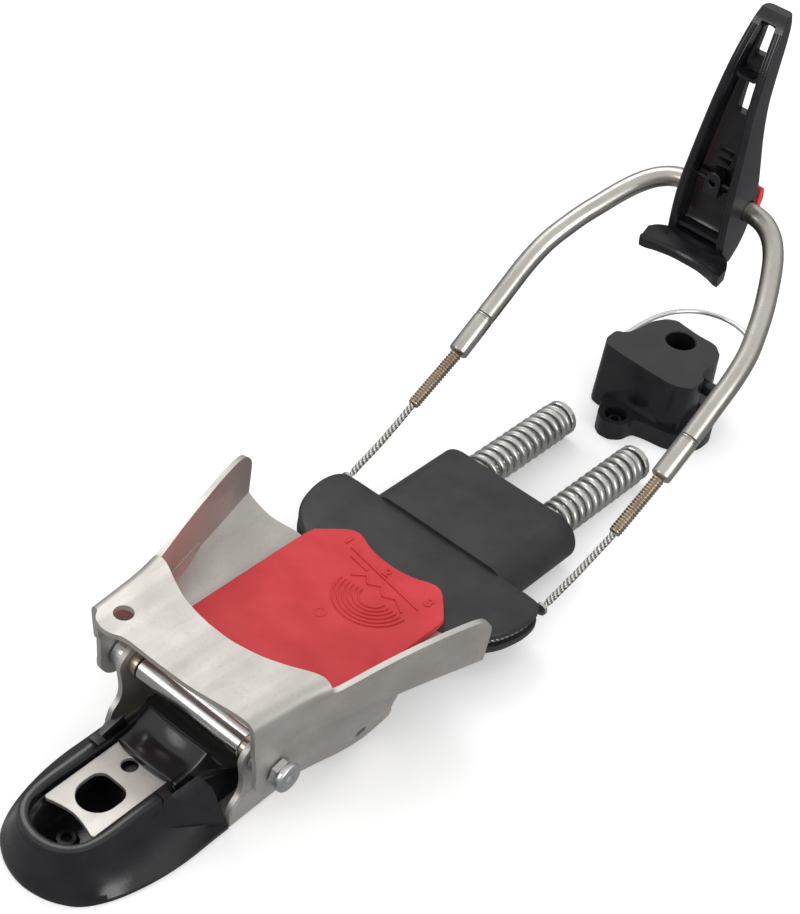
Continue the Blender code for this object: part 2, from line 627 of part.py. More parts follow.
CORE_FRONT = 150.0
for tag, s in (("left", -1), ("right", 1)):
    toe_part("spring_" + tag, sweep(helix(s), WIRE_R, 4), GALV, smooth=80)
    prof = [(0, CORE_FRONT), (1.4, CORE_FRONT), (1.4, SPRING_REAR - 3.4), (4.2, SPRING_REAR - 3.4),
            (4.2, SPRING_REAR + GAP), (7.1, SPRING_REAR + GAP), (7.3, SPRING_REAR + 0.8), (7.3, SPRING_REAR + 2.6),
            (6.7, SPRING_REAR + 3.3), (3.0, SPRING_REAR + 3.3), (2.6, SPRING_REAR + 1.2), (0, SPRING_REAR + 1.2)]
    toe_part("spring_cap_" + tag, turn(prof, "Y", (s * SPRING_X, 0, SPRING_Z), 16), GALV, smooth=35,
             pivot=(s * SPRING_X, SPRING_REAR, SPRING_Z))

# ------------------------------------------------------------------ heel loop
HINGE_Y = EXIT_Y + 2.3     # where the cable leaves the guide block and flexes
for tag, s in (("left", -1), ("right", 1)):
    prof = [(CABLE_R + 0.15, EXIT_Y), (2.5, EXIT_Y), (2.5, EXIT_Y + 1.6), (CABLE_R + 0.15, EXIT_Y + 1.6)]
    toe_part("cable_exit_" + tag, turn([(0, EXIT_Y), (2.4, EXIT_Y), (2.4, EXIT_Y + 1.2), (2.0, EXIT_Y + 1.6),
                                        (0, EXIT_Y + 1.6)], "Y", (s * CABLE_X, 0, CABLE_Z), 16), GALV, smooth=35,
             pivot=(s * CABLE_X, HINGE_Y, CABLE_Z))

STUD_A = Vector((47.6, 161.5, 28.2))
STUD_B = Vector((47.8, 185.0, 41.0))
CABLE_PTS = [(CABLE_X, HINGE_Y, CABLE_Z), (46.05, HINGE_Y + 1.2, CABLE_Z + 0.3), (46.3, 131, 15.2),
             (46.8, 143, 19.4), (47.3, 154, 24.4)]
TUBE_PTS = [(48, 200.2, 51.4), (48, 207, 56.2), (48, 213, 60.6), (48, 220, 65.6), (47.6, 226, 69.8),
            (46.6, 232, 74.0), (44.6, 238, 78.2), (41.8, 245, 83.0), (38.8, 251, 87.0), (35.4, 257, 91.4),
            (31.6, 262.6, 95.4), (27, 267.2, 98.7), (21.5, 270.3, 100.9), (15.5, 271.6, 101.8),
            (8, 271.7, 101.9)]


def stud_profile(length):
    prof = [(0, 0), (1.9, 0)]
    n = int(length / 2.0)
    for i in range(n):
        prof += [(2.35, 0.6 + i * 2.0), (1.95, 1.6 + i * 2.0)]
    prof += [(1.9, length), (0, length)]
    return prof


for tag, s in (("left", -1), ("right", 1)):
    flip = lambda p: (s * p[0], p[1], p[2])
    a = Vector(flip(STUD_A))
    b = Vector(flip(STUD_B))
    d = (b - a).normalized()
    end = a - d * GAP
    pts = [flip(p) for p in CABLE_PTS] + [tuple(end - d * 3), tuple(end)]
    route = smooth_path(pts, 3)
    thick = [CABLE_R * min(1.0, 0.4 + 0.5 * (q.y - HINGE_Y)) for q in route]
    toe_part("cable_span_" + tag, sweep(route, thick, 8), GALV, smooth=60)
    length = (b - a).length
    bm = turn(stud_profile(length), "Z", (0, 0, 0), 10)
    rot = Vector((0, 0, 1)).rotation_difference(d).to_matrix().to_4x4()
    bmesh.ops.transform(bm, matrix=Matrix.Translation(a) @ rot, verts=bm.verts)
    toe_part("threaded_stud_" + tag, bm, BRONZE, smooth=25)
    first = Vector(flip(TUBE_PTS[0]))
    e = (first - b).normalized()
    toe_part("loop_sleeve_" + tag, sweep([b + e * GAP, b + e * 0.9, first - e * 0.9, first - e * GAP],
                                         [LOOP_TUBE_R - 0.5, LOOP_TUBE_R, LOOP_TUBE_R, LOOP_TUBE_R - 0.4], 12),
             TUBE, smooth=40)

right_half = smooth_path(TUBE_PTS, 1)
full = [(x, y, z) for x, y, z in right_half] + [(-x, y, z) for x, y, z in reversed(right_half)]
heel_tube = toe_part("heel_tube", sweep(full, LOOP_TUBE_R, 12), TUBE, smooth=40)

# ------------------------------------------------------------------ heel lever, drawn over the ski
lever_pivot = empty("lever_pivot", (0, LEVER_Y, LEVER_Z))
LP = (0, -LEVER_Y, -LEVER_Z)
# height, half width, front edge, back edge
LEVER = [(79, 12.8, 265.0, 271.5), (84, 12.7, 262.8, 276.0), (90, 12.5, 262.0, 279.2), (98, 12.3, 261.6, 281.0),
         (107, 12.0, 262.0, 281.3), (118, 11.0, 263.6, 279.8), (130, 9.8, 265.5, 278.2), (143, 8.2, 267.6, 278.3),
         (155, 7.1, 271.0, 280.9), (164, 6.2, 275.2, 283.4), (171.5, 5.3, 279.4, 285.0), (175.8, 4.4, 282.2, 285.0)]
WALL = 2.2


def lever_at(z):
    for p, q in zip(LEVER, LEVER[1:]):
        if z <= q[0]:
            k = (z - p[0]) / (q[0] - p[0])
            return [p[i] + (q[i] - p[i]) * k for i in range(4)]
    return list(LEVER[-1])


def slab(z, w, y0, y1):
    return [(-w, y0, z), (w, y0, z), (w, y1, z), (-w, y1, z)]


lever = add("heel_lever", loft([slab(*row) for row in LEVER]), BLACK, lever_pivot, LP)
rings = []
for z in (86.5, 92, 98, 107, 118, 130, 143, 155, 163, 168.5):
    _, w, y0, y1 = lever_at(z)
    lift = {86.5: 5.5, 92: 2.4, 168.5: 3.4, 163: 1.0}.get(z, 0.0)
    rings.append(slab(z, w - WALL, y0 - 12, y1 - WALL - 0.2 - lift))
pocket = add("lever_pocket", loft(rings), BLACK, lever_pivot, LP)
boolean(lever, pocket)
slots = bmesh.new()
for half, y, z, h in ((2.4, 281.5, 160, 9), (2.1, 277.5, 134, 12)):
    box((-half, y - 8, z - h / 2), (half, y + 8, z + h / 2), slots)
lever_slots = add("lever_slots", slots, BLACK, lever_pivot, LP)
boolean(lever, lever_slots)
# distance from the middle, front edge, back edge
FOOT_PLAN = [(0, 257.6, 268), (6, 257.2, 266.6), (12, 255.4, 264.2), (16, 253.4, 261.0), (18.2, 252.8, 257.6)]
rings = []
for x, y0, y1 in [(-p[0], p[1], p[2]) for p in FOOT_PLAN[:0:-1]] + FOOT_PLAN:
    sag = 0.011 * x * x
    z0, z1 = 76.0 + (y0 - 258) * 0.3, 76.0 + (y1 - 258) * 0.3
    rings.append([(x, y0, z0 + sag * 0.75), (x, y1, z1 + sag * 0.75), (x, y1, z1 + 4.6 + sag),
                  (x, y0, z0 + 3.6 + sag)])
foot_tool = add("lever_foot", loft(rings), BLACK, lever_pivot, LP)
boolean(lever, foot_tool, "UNION")
eye = add("lever_tube_bore", turn([(0, -20), (LOOP_TUBE_R + 0.35, -20), (LOOP_TUBE_R + 0.35, 20), (0, 20)], "X",
                                  (0, LEVER_Y, LEVER_Z), 24), BLACK, lever_pivot, LP)
boolean(lever, eye)
bevel(lever, 0.5, 1, 50)
add("lever_boss", prism([(264.4, 104.4), (268.6, 104.4), (269.4, 110), (268.4, 114.6), (264.6, 114.6)], "X",
                        -3.6, 3.6, holes=[(266.8, 109.6, 1.2, 12)]), BLACK, lever_pivot, LP)
add("lever_boss_pin", turn([(0, -9.2), (0.95, -9.2), (0.95, 9.2), (0, 9.2)], "X", (0, 266.8, 109.6), 12), ZINC,
    lever_pivot, LP, smooth=30)
add("lever_clip", prism([(281.9, 96), (286.2, 98), (287.0, 104), (285.4, 110), (282.0, 110.2)], "X", 5.5, 12.6),
    RED, lever_pivot, LP)

# ------------------------------------------------------------------ heel block and climbing wire
TOPLINE = [(-23.6, 254), (-20.5, 250.6), (9.6, 249.2), (14.2, 250.2), (18.6, 253), (19.4, 257), (19.2, 262),
           (15.6, 265), (16.2, 270), (16.2, 275), (14.6, 280), (9.4, 284.6), (1, 284.4), (-5.6, 285.2),
           (-10.4, 286), (-14.4, 283.4), (-17.4, 277.4), (-18.6, 268), (-20, 263.4), (-23.8, 261)]
riser = add("heel_block", prism(TOPLINE, "Z", 0, RISER_TOP), BLACK)
for v in riser.data.vertices:
    if v.co.z < 0.001:
        v.co.y += -2.5 * MM if v.co.y < 0.262 else 1.5 * MM
lug = [(-15, 252), (-14.6, 244), (-12, 240), (-10.4, 236), (-6.5, 233.2), (-1.6, 233.6), (2, 237), (3.2, 243),
       (8, 244.5), (18, 246), (25.5, 252), (27.4, 257), (27.2, 264), (24, 270), (17, 272), (10, 270), (-10, 262)]
lug_tool = add("heel_block_foot", prism(lug, "Z", 0, 8.0), BLACK)
boolean(riser, lug_tool, "UNION")
WELL_Y = 276.0
WELL_X = -2.0
LUG_X, LUG_Y = -4.2, 240.2
wells = turn([(0, -2), (2.9, -2), (2.9, 6), (6.0, 6), (6.0, RISER_TOP + 6), (0, RISER_TOP + 6)], "Z",
             (WELL_X, WELL_Y, 0), 24)
turn([(0, -2), (2.7, -2), (2.7, 2.5), (4.6, 2.5), (4.6, 20), (3.2, 26), (0, 26)], "Z", (LUG_X, LUG_Y, 0), 20, wells)
riser_wells = add("riser_wells", wells, BLACK)
boolean(riser, riser_wells)
bevel(riser, 0.8, 1, 50)
screw("riser_screw_rear", WELL_X, WELL_Y, 0.4, 6.0 + GAP, 5.2, 3.4, 2.4)
screw("riser_screw_front", LUG_X, LUG_Y, 0.4, 2.5 + GAP, 4.0, 2.6, 2.2)

KNOB = (RISER_WIRE_Y, RISER_WIRE_Z)
for tag, s, face_x in (("left", -1, 19.7), ("right", 1, 16.4)):
    prof = [(0, face_x + 0.2), (3.0, face_x + 0.2), (3.0, 22.6), (2.4, 23.2), (RISER_WIRE_R + 0.35, 23.2),
            (RISER_WIRE_R + 0.35, 20.2), (0, 20.2)]
    prof = [(r, s * h) for r, h in prof]
    add("wire_pivot_" + tag, turn(prof, "X", (0, *KNOB), 16), BLACK, smooth=30)
wire_half = [(20.7, RISER_WIRE_Y), (23.9, RISER_WIRE_Y), (24.7, RISER_WIRE_Y + 0.8), (24.6, 276), (24.2, 284),
             (22.6, 293), (19.4, 300.6), (14, 307.2), (7.4, 311), (0, 312.4)]
path = [(x, y, RISER_WIRE_Z) for x, y in wire_half] + [(-x, y, RISER_WIRE_Z) for x, y in wire_half[-2::-1]]
add("climbing_wire", sweep(path, RISER_WIRE_R, 8), ZINC, smooth=60, pivot=(0, RISER_WIRE_Y, RISER_WIRE_Z))
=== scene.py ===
import json
import math

import bmesh
import bpy
from mathutils import Matrix, Vector


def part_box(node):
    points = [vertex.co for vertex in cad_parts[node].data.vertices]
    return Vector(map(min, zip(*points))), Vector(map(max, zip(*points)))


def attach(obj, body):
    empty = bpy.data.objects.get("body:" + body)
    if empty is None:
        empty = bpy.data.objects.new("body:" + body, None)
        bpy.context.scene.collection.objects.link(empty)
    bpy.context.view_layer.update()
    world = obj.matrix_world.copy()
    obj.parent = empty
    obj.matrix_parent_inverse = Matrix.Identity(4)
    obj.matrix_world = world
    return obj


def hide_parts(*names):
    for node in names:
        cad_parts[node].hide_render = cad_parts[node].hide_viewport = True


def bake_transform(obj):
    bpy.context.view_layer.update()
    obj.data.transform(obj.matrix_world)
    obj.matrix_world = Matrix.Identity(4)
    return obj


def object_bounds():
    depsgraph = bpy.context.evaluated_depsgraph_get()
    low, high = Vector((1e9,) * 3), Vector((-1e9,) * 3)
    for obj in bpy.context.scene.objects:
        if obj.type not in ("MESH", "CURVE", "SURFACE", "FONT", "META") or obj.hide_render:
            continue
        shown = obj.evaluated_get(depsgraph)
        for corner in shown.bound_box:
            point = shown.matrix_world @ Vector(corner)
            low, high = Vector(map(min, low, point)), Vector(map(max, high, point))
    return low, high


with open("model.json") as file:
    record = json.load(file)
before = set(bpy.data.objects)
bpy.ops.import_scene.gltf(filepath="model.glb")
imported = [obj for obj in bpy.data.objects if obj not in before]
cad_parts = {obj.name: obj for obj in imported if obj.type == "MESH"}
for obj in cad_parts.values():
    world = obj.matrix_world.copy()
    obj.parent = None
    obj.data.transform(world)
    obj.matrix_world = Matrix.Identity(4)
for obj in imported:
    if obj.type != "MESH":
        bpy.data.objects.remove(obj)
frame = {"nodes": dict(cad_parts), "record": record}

start_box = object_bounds()

MM = 0.001
AXLE_Z = 25.2            # axle height over the ski
DROOP = 2.2              # degrees the toe unit slopes down to the rear
DATUM_Z = 17.5           # height of the axle in the toe unit's own drawing
TOE = (Matrix.Translation((0, 0, AXLE_Z)) @ Matrix.Rotation(-math.radians(DROOP), 4, "X")
       @ Matrix.Translation((0, 0, -DATUM_Z)))
SKI = Matrix.Identity(4)
SLOTS = {s["node"]: s["material_slot"] for s in frame["record"]["subparts"]}


def new_object(name, data):
    ob = bpy.data.objects.new(name, data)
    bpy.context.scene.collection.objects.link(ob)
    return ob


# --- camera, light and floor
def camera():
    data = bpy.data.cameras.new("camera")
    data.lens = 77.85
    data.sensor_width = 36.0
    data.clip_start = 0.01
    ob = new_object("camera", data)
    ob.location = (0.28696, -0.30799, 0.50515)
    ob.rotation_euler = [math.radians(a) for a in (48.659, -6.065, 40.974)]
    bpy.context.scene.camera = ob


def light(name, place, target, size, power):
    data = bpy.data.lights.new(name, "AREA")
    data.shape = "DISK"
    data.size = size
    data.energy = power
    ob = new_object(name, data)
    ob.location = place
    ob.rotation_euler = (Vector(target) - Vector(place)).to_track_quat("-Z", "Y").to_euler()


def studio():
    middle = (0, 0.12, 0.03)
    light("key", (-0.75, 0.45, 1.0), middle, 0.7, 3.2)
    light("fill", (1.1, -0.1, 0.55), middle, 0.7, 4.6)
    light("front", (-0.5, -0.9, 0.6), middle, 0.5, 2.0)
    world = bpy.data.worlds.new("world")
    world.use_nodes = True
    tree = world.node_tree
    split = tree.nodes.new("ShaderNodeSeparateXYZ")
    tree.links.new(tree.nodes.new("ShaderNodeTexCoord").outputs["Generated"], split.inputs[0])
    sky = tree.nodes.new("ShaderNodeValToRGB")
    sky.color_ramp.elements[0].position = 0.1
    sky.color_ramp.elements[0].color = (0.28, 0.28, 0.285, 1)
    sky.color_ramp.elements[1].position = 0.62
    sky.color_ramp.elements[1].color = (0.86, 0.86, 0.86, 1)
    tree.links.new(split.outputs["Z"], sky.inputs["Fac"])
    tree.links.new(sky.outputs["Color"], tree.nodes["Background"].inputs[0])
    tree.nodes["Background"].inputs[1].default_value = 1.0
    bpy.context.scene.world = world
    bpy.context.scene.view_settings.view_transform = "Standard"
    half = 4.0
    z = start_box[0][2] - 0.0002
    me = bpy.data.meshes.new("floor")
    corners = [(-half, -half, z), (half, -half, z), (half, half, z), (-half, half, z)]
    me.from_pydata(corners, [], [(0, 1, 2, 3)])
    ob = new_object("floor", me)
    mat = bpy.data.materials.new("floor")
    mat.use_nodes = True
    shader = mat.node_tree.nodes["Principled BSDF"]
    shader.inputs["Base Color"].default_value = (0.95, 0.95, 0.95, 1)
    shader.inputs["Roughness"].default_value = 0.9
    shader.inputs["Emission Color"].default_value = (1, 1, 1, 1)
    shader.inputs["Emission Strength"].default_value = 0.22
    me.materials.append(mat)
    ob.visible_glossy = False


# --- materials
class Nodes:
    """A Principled material with object-space noise to build on."""

    def __init__(self, name, metallic, roughness, specular=0.5):
        self.mat = bpy.data.materials.new(name)
        self.mat.use_nodes = True
        self.tree = self.mat.node_tree
        self.shader = self.tree.nodes["Principled BSDF"]
        self.shader.inputs["Metallic"].default_value = metallic
        self.shader.inputs["Roughness"].default_value = roughness
        self.shader.inputs["Specular IOR Level"].default_value = specular
        self.place = self.tree.nodes.new("ShaderNodeTexCoord").outputs["Object"]

    def link(self, a, b):
        self.tree.links.new(a, b)

    def noise(self, scale, detail=3.0, stretch=(1, 1, 1), rough=0.5):
        mapping = self.tree.nodes.new("ShaderNodeMapping")
        mapping.inputs["Scale"].default_value = stretch
        self.link(self.place, mapping.inputs["Vector"])
        n = self.tree.nodes.new("ShaderNodeTexNoise")
        n.inputs["Scale"].default_value = scale
        n.inputs["Detail"].default_value = detail
        n.inputs["Roughness"].default_value = rough
        self.link(mapping.outputs["Vector"], n.inputs["Vector"])
        return n.outputs["Fac"]

    def ramp(self, value, lo, hi, a, b):
        r = self.tree.nodes.new("ShaderNodeValToRGB")
        r.color_ramp.elements[0].position = lo
        r.color_ramp.elements[0].color = (*a, 1)
        r.color_ramp.elements[1].position = hi
        r.color_ramp.elements[1].color = (*b, 1)
        self.link(value, r.inputs["Fac"])
        return r.outputs["Color"]

    def multiply(self, a, b, amount=1.0):
        m = self.tree.nodes.new("ShaderNodeMix")
        m.data_type = "RGBA"
        m.blend_type = "MULTIPLY"
        m.inputs["Factor"].default_value = amount
        self.link(a, m.inputs[6])
        self.link(b, m.inputs[7])
        return m.outputs[2]

    def span(self, value, lo, hi):
        r = self.tree.nodes.new("ShaderNodeMapRange")
        r.inputs["From Min"].default_value = 0.3
        r.inputs["From Max"].default_value = 0.7
        r.inputs["To Min"].default_value = lo
        r.inputs["To Max"].default_value = hi
        self.link(value, r.inputs["Value"])
        return r.outputs["Result"]

    def bump(self, value, distance):
        b = self.tree.nodes.new("ShaderNodeBump")
        b.inputs["Distance"].default_value = distance
        b.inputs["Strength"].default_value = 1.0
        self.link(value, b.inputs["Height"])
        self.link(b.outputs["Normal"], self.shader.inputs["Normal"])

    def colour(self, value):
        self.link(value, self.shader.inputs["Base Color"])

    def roughness(self, value):
        self.link(value, self.shader.inputs["Roughness"])


def metal(name, dark, pale, rough, marks=0.2, grain=(1, 1, 1), metallic=1.0):
    """Cloudy metal with fine specks and scratches along one direction."""
    n = Nodes(name, metallic, rough)
    cloud = n.ramp(n.noise(55, 5), 0.32, 0.68, dark, pale)
    speck = n.ramp(n.noise(900, 2), 0.30, 0.42, (0.55, 0.52, 0.5), (1, 1, 1))
    scratch = n.ramp(n.noise(420, 3, grain, 0.7), 0.33, 0.42, (0.8, 0.78, 0.76), (1, 1, 1))
    n.colour(n.multiply(n.multiply(cloud, speck, marks), scratch, marks))
    n.roughness(n.span(n.noise(160, 4, grain), rough - 0.07, rough + 0.09))
    n.bump(n.noise(700, 4, grain), 0.00001)
    return n.mat


def plastic(name, dark, pale, rough, grain=1400, wear=0.0, specular=0.5):
    """Moulded plastic: fine spark texture, slight cloudiness, paler rubbed patches."""
    n = Nodes(name, 0.0, rough, specular)
    body = n.ramp(n.noise(70, 4), 0.35, 0.65, dark, pale)
    if wear:
        rub = n.ramp(n.noise(260, 5, rough=0.65), 0.60, 0.74, (1, 1, 1), (1 + wear,) * 3)
        body = n.multiply(body, rub)
    n.colour(body)
    n.roughness(n.span(n.noise(120, 4), rough - 0.05, rough + 0.08))
    n.bump(n.noise(grain, 3), 0.00003)
    return n.mat


def cable_metal():
    """Laid strands: a slanting wave seen as fine twisted wires; its dark bands are painted shade in the
    grooves between the wires, which the same wave also gives as bumps.
    """
    n = Nodes("cable_strand", 1.0, 0.38)
    wave = n.tree.nodes.new("ShaderNodeTexWave")
    wave.wave_type = "BANDS"
    wave.bands_direction = "DIAGONAL"
    wave.inputs["Scale"].default_value = 260
    wave.inputs["Distortion"].default_value = 1.5
    n.link(n.place, wave.inputs["Vector"])
    # pale bands: the wires' own colour; dark bands: painted shade in the grooves between them
    n.colour(n.ramp(wave.outputs["Fac"], 0.1, 0.8, (0.2, 0.19, 0.18), (0.74, 0.73, 0.7)))
    n.bump(wave.outputs["Fac"], 0.0002)
    return n.mat


MATERIALS = {
    "stainless": metal("stainless", (0.50, 0.475, 0.44), (0.60, 0.575, 0.54), 0.46, 0.18, (1, 0.12, 1),
                       metallic=0.82),
    "zinc": metal("zinc", (0.70, 0.71, 0.72), (0.86, 0.87, 0.88), 0.30, 0.1),
    "bronze": metal("bronze", (0.42, 0.35, 0.27), (0.60, 0.52, 0.42), 0.32, 0.3),
    "spring_steel": metal("spring_steel", (0.50, 0.50, 0.48), (0.68, 0.68, 0.65), 0.33, 0.2),
    "satin_tube": metal("satin_tube", (0.50, 0.475, 0.435), (0.58, 0.555, 0.515), 0.28, 0.12, (1, 1, 0.3)),
    "black_plastic": plastic("black_plastic", (0.006, 0.006, 0.008), (0.012, 0.012, 0.014), 0.20, wear=0.5,
                             specular=0.55),
    "satin_black": plastic("satin_black", (0.024, 0.024, 0.026), (0.036, 0.036, 0.038), 0.42, wear=0.25,
                           specular=0.32),
    "red_plastic": plastic("red_plastic", (0.60, 0.042, 0.050), (0.67, 0.056, 0.064), 0.45, grain=1100,
                           specular=0.2),
}
POLISHED = metal("polished_tube", (0.60, 0.59, 0.57), (0.76, 0.75, 0.73), 0.22, 0.1)
BLACKENED = metal("blackened_screw", (0.03, 0.03, 0.032), (0.06, 0.06, 0.062), 0.4, 0.2)
CABLE = cable_metal()
BLACK_SCREWS = ("housing_screw", "lever_boss_pin", "riser_screw_front", "riser_screw_rear")


# --- mesh helpers, all in millimetres
def finish(name, bm, nodes, body, place=SKI, mat=None, smooth=35, bevel=0.0, segments=3, angle=30):
    """One piece from a bmesh: placed, shaded, given its material and body, with the CAD nodes it stands for
    hidden.
    """
    bmesh.ops.remove_doubles(bm, verts=bm.verts, dist=0.0005)
    bmesh.ops.recalc_face_normals(bm, faces=bm.faces)
    bmesh.ops.transform(bm, matrix=Matrix.Scale(MM, 4) @ place, verts=bm.verts)
    me = bpy.data.meshes.new(name)
    bm.to_mesh(me)
    bm.free()
    ob = new_object(name, me)
    shade(ob, smooth)
    if nodes:
        me.materials.append(mat or MATERIALS[SLOTS[nodes[0]]])
        if body:
            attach(ob, body)
        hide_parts(*nodes)
    if bevel:
        round_edges(ob, bevel, segments, angle)
    return ob


def stand_for(ob, node, body, smooth, bevel, segments, angle):
    """A piece that booleans have completed: shaded, given its material and body, its CAD node hidden, edges
    rounded.
    """
    shade(ob, smooth)
    ob.data.materials.clear()
    ob.data.materials.append(MATERIALS[SLOTS[node]])
    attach(ob, body)
    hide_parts(node)
    round_edges(ob, bevel, segments, angle)


def shade(ob, smooth):
    for p in ob.data.polygons:
        p.use_smooth = True
    if smooth:
        ob.data.set_sharp_from_angle(angle=math.radians(smooth))


def round_edges(ob, width, segments=3, angle=30):
    m = ob.modifiers.new("edges", "BEVEL")
    m.width = width * MM
    m.segments = segments
    m.limit_method = "ANGLE"
    m.angle_limit = math.radians(angle)
    m.miter_outer = "MITER_ARC"


def combine(ob, bm, op="DIFFERENCE", place=SKI):
    """Boolean with a bmesh, whose object is removed once the result is taken."""
    tool = finish("tool", bm, (), None, place)
    m = ob.modifiers.new("combine", "BOOLEAN")
    m.operation = op
    m.solver = "EXACT"
    m.object = tool
    settle(ob)
    bpy.data.objects.remove(tool, do_unlink=True)


def result_mesh(ob):
    bpy.context.view_layer.update()
    return bpy.data.meshes.new_from_object(ob.evaluated_get(bpy.context.evaluated_depsgraph_get()))


def settle(ob):
    """Take the modifiers' result as the mesh."""
    me = result_mesh(ob)
    ob.modifiers.clear()
    old = ob.data
    ob.data = me
    bpy.data.meshes.remove(old)


def loft(rings, bm=None):
    bm = bm or bmesh.new()
    rows = [[bm.verts.new(p) for p in r] for r in rings]
    n = len(rings[0])
    for a, b in zip(rows, rows[1:]):
        for i in range(n):
            j = (i + 1) % n
            bm.faces.new((a[i], a[j], b[j], b[i]))
    bm.faces.new(rows[0][::-1])
    bm.faces.new(rows[-1])
    return bm


FRAMES = {"X": ((0, 1, 0), (0, 0, 1), (1, 0, 0)), "Y": ((0, 0, 1), (1, 0, 0), (0, 1, 0)),
          "Z": ((1, 0, 0), (0, 1, 0), (0, 0, 1))}


def turn(profile, axis, centre, seg=48):
    """Revolve a (radius, along) profile; one that neither starts nor ends at radius 0 is a closed ring."""
    bm = bmesh.new()
    c = Vector(centre)
    u, v, w = (Vector(k) for k in FRAMES[axis])
    rows = []
    for r, h in profile:
        if r == 0:
            rows.append([bm.verts.new(c + w * h)])
            continue
        angles = [2 * math.pi * i / seg for i in range(seg)]
        rows.append([bm.verts.new(c + w * h + (u * math.cos(a) + v * math.sin(a)) * r) for a in angles])
    pairs = list(zip(rows, rows[1:])) + ([(rows[-1], rows[0])] if profile[0][0] != 0 else [])
    for a, b in pairs:
        for i in range(seg):
            j = (i + 1) % seg
            if len(a) == 1:
                bm.faces.new((a[0], b[i], b[j]))
            elif len(b) == 1:
                bm.faces.new((a[i], a[j], b[0]))
            else:
                bm.faces.new((a[i], a[j], b[j], b[i]))
    return bm


def rod(radius, lo, hi, axis, centre, seg=48):
    return turn([(0, lo), (radius, lo), (radius, hi), (0, hi)], axis, centre, seg)


def prism(loops, axis, lo, hi):
    """Extrude an outline, with any holes as further loops."""
    bm = bmesh.new()
    order = {"X": (2, 0, 1), "Y": (0, 2, 1), "Z": (0, 1, 2)}[axis]
    flat = bmesh.new()
    edges = []
    for lp in loops:
        vs = [flat.verts.new((a, b, 0)) for a, b in lp]
        edges += [flat.edges.new((vs[i], vs[(i + 1) % len(vs)])) for i in range(len(vs))]
    if len(loops) == 1:
        flat.faces.new(flat.verts[:])
    else:
        bmesh.ops.triangle_fill(flat, use_beauty=True, use_dissolve=False, edges=edges)
    flat.verts.index_update()
    low, high = ([bm.verts.new([(v.co.x, v.co.y, h)[k] for k in order]) for v in flat.verts]
                 for h in (lo, hi))
    for f in flat.faces:
        bm.faces.new([low[v.index] for v in f.verts])
        bm.faces.new([high[v.index] for v in reversed(f.verts)])
    base = 0
    for lp in loops:
        n = len(lp)
        for i in range(n):
            a, b = base + i, base + (i + 1) % n
            bm.faces.new((low[a], low[b], high[b], high[a]))
        base += n
    flat.free()
    return bm


def curve_through(points, per=6):
    """Catmull-Rom through the points."""
    p = [Vector(q) for q in points]
    p = [p[0] * 2 - p[1]] + p + [p[-1] * 2 - p[-2]]
    out = []
    for i in range(1, len(p) - 2):
        a, b, c, d = p[i - 1], p[i], p[i + 1], p[i + 2]
        for k in range(per):
            t = k / per
            out.append(0.5 * ((2 * b) + (c - a) * t + (2 * a - 5 * b + 4 * c - d) * t * t
                              + (3 * b - a - 3 * c + d) * t ** 3))
    out.append(p[-2])
    return out


def curve_flat(points, per):
    """A smooth outline through flat points."""
    return [(q.x, q.y) for q in curve_through([(a, b, 0) for a, b in points], per)]


def sweep(path, radius, sides=20, bm=None):
    path = [Vector(q) for q in path]
    rings = []
    t0 = (path[1] - path[0]).normalized()
    ref = Vector((0, 0, 1)) if abs(t0.z) < 0.9 else Vector((1, 0, 0))
    u = t0.cross(ref).normalized()
    for i, q in enumerate(path):
        t = (path[min(i + 1, len(path) - 1)] - path[max(i - 1, 0)]).normalized()
        u = (u - t * u.dot(t)).normalized()
        v = t.cross(u)
        r = radius[i] if isinstance(radius, list) else radius
        rings.append([q + (u * math.cos(2 * math.pi * k / sides) + v * math.sin(2 * math.pi * k / sides)) * r
                      for k in range(sides)])
    return loft(rings, bm)


def circle(u, v, r, n=40):
    return [(u + r * math.cos(2 * math.pi * i / n), v + r * math.sin(2 * math.pi * i / n)) for i in range(n)]


def box(lo, hi):
    return prism([[(lo[0], lo[1]), (hi[0], lo[1]), (hi[0], hi[1]), (lo[0], hi[1])]], "Z", lo[2], hi[2])


def arch(half, low, high):
    """An upright outline with a half-round top, whose straight sides end at high."""
    angles = [math.radians(a) for a in range(15, 180, 15)]
    top = [(half * math.cos(a), high + half * math.sin(a)) for a in angles]
    return [(-half, low), (half, low), (half, high)] + top + [(-half, high)]


def both(points):
    """Mirror a half outline (x >= 0, front to rear) to a full loop."""
    return points + [(-x, y) for x, y in reversed(points) if x > 0]


def flowing(half, per=5):
    """A half outline made smooth, its first point on the middle line."""
    mirrored = (-half[1][0], half[1][1])
    return [(max(0.0, x), y) for x, y in curve_flat([mirrored] + half, per)[per:]]


def at(table, y):
    """Value at y on the line through (y, value) pairs."""
    for (a, p), (b, q) in zip(table, table[1:]):
        if y <= b:
            return p + (q - p) * max(0.0, (y - a) / (b - a))
    return table[-1][1]


# --- front housing
RIM_Z = 18.8
SLIDE_TOP = 16.6
SLIDE_T = 1.6
HOUSING_REAR = -12.3
HOOD_FOOT_HALF, HOOD_TOP_HALF = 20.5, 13.4
FOOT = [(0, -72.6), (7, -71.6), (13, -69.2), (18.5, -65.2), (22.8, -58.4), (25.8, -50), (27.9, -40),
        (28.8, -30), (28.8, -20), (28.8, HOUSING_REAR)]
WAIST = [(0, -70.2), (6.4, -69.2), (11.8, -66.4), (15.6, -61.8), (17.4, -55), (17.8, -47), (17.6, -39),
         (17.2, -31), (17.2, -22), (17.6, HOUSING_REAR)]
RIM = [(0, -68.4), (5.8, -67.4), (10.8, -64.6), (14.2, -60), (15.8, -54), (16.3, -47), (16.3, -41),
       (16.4, -33), (16.8, -25), (17.5, HOUSING_REAR)]
INNER = [(0, -64.6), (4.8, -63.8), (8.8, -61.4), (11.4, -57.6), (12.4, -52.5), (12.6, -47), (12.5, -41),
         (12.4, -34), (12.4, -28), (12.4, -14)]
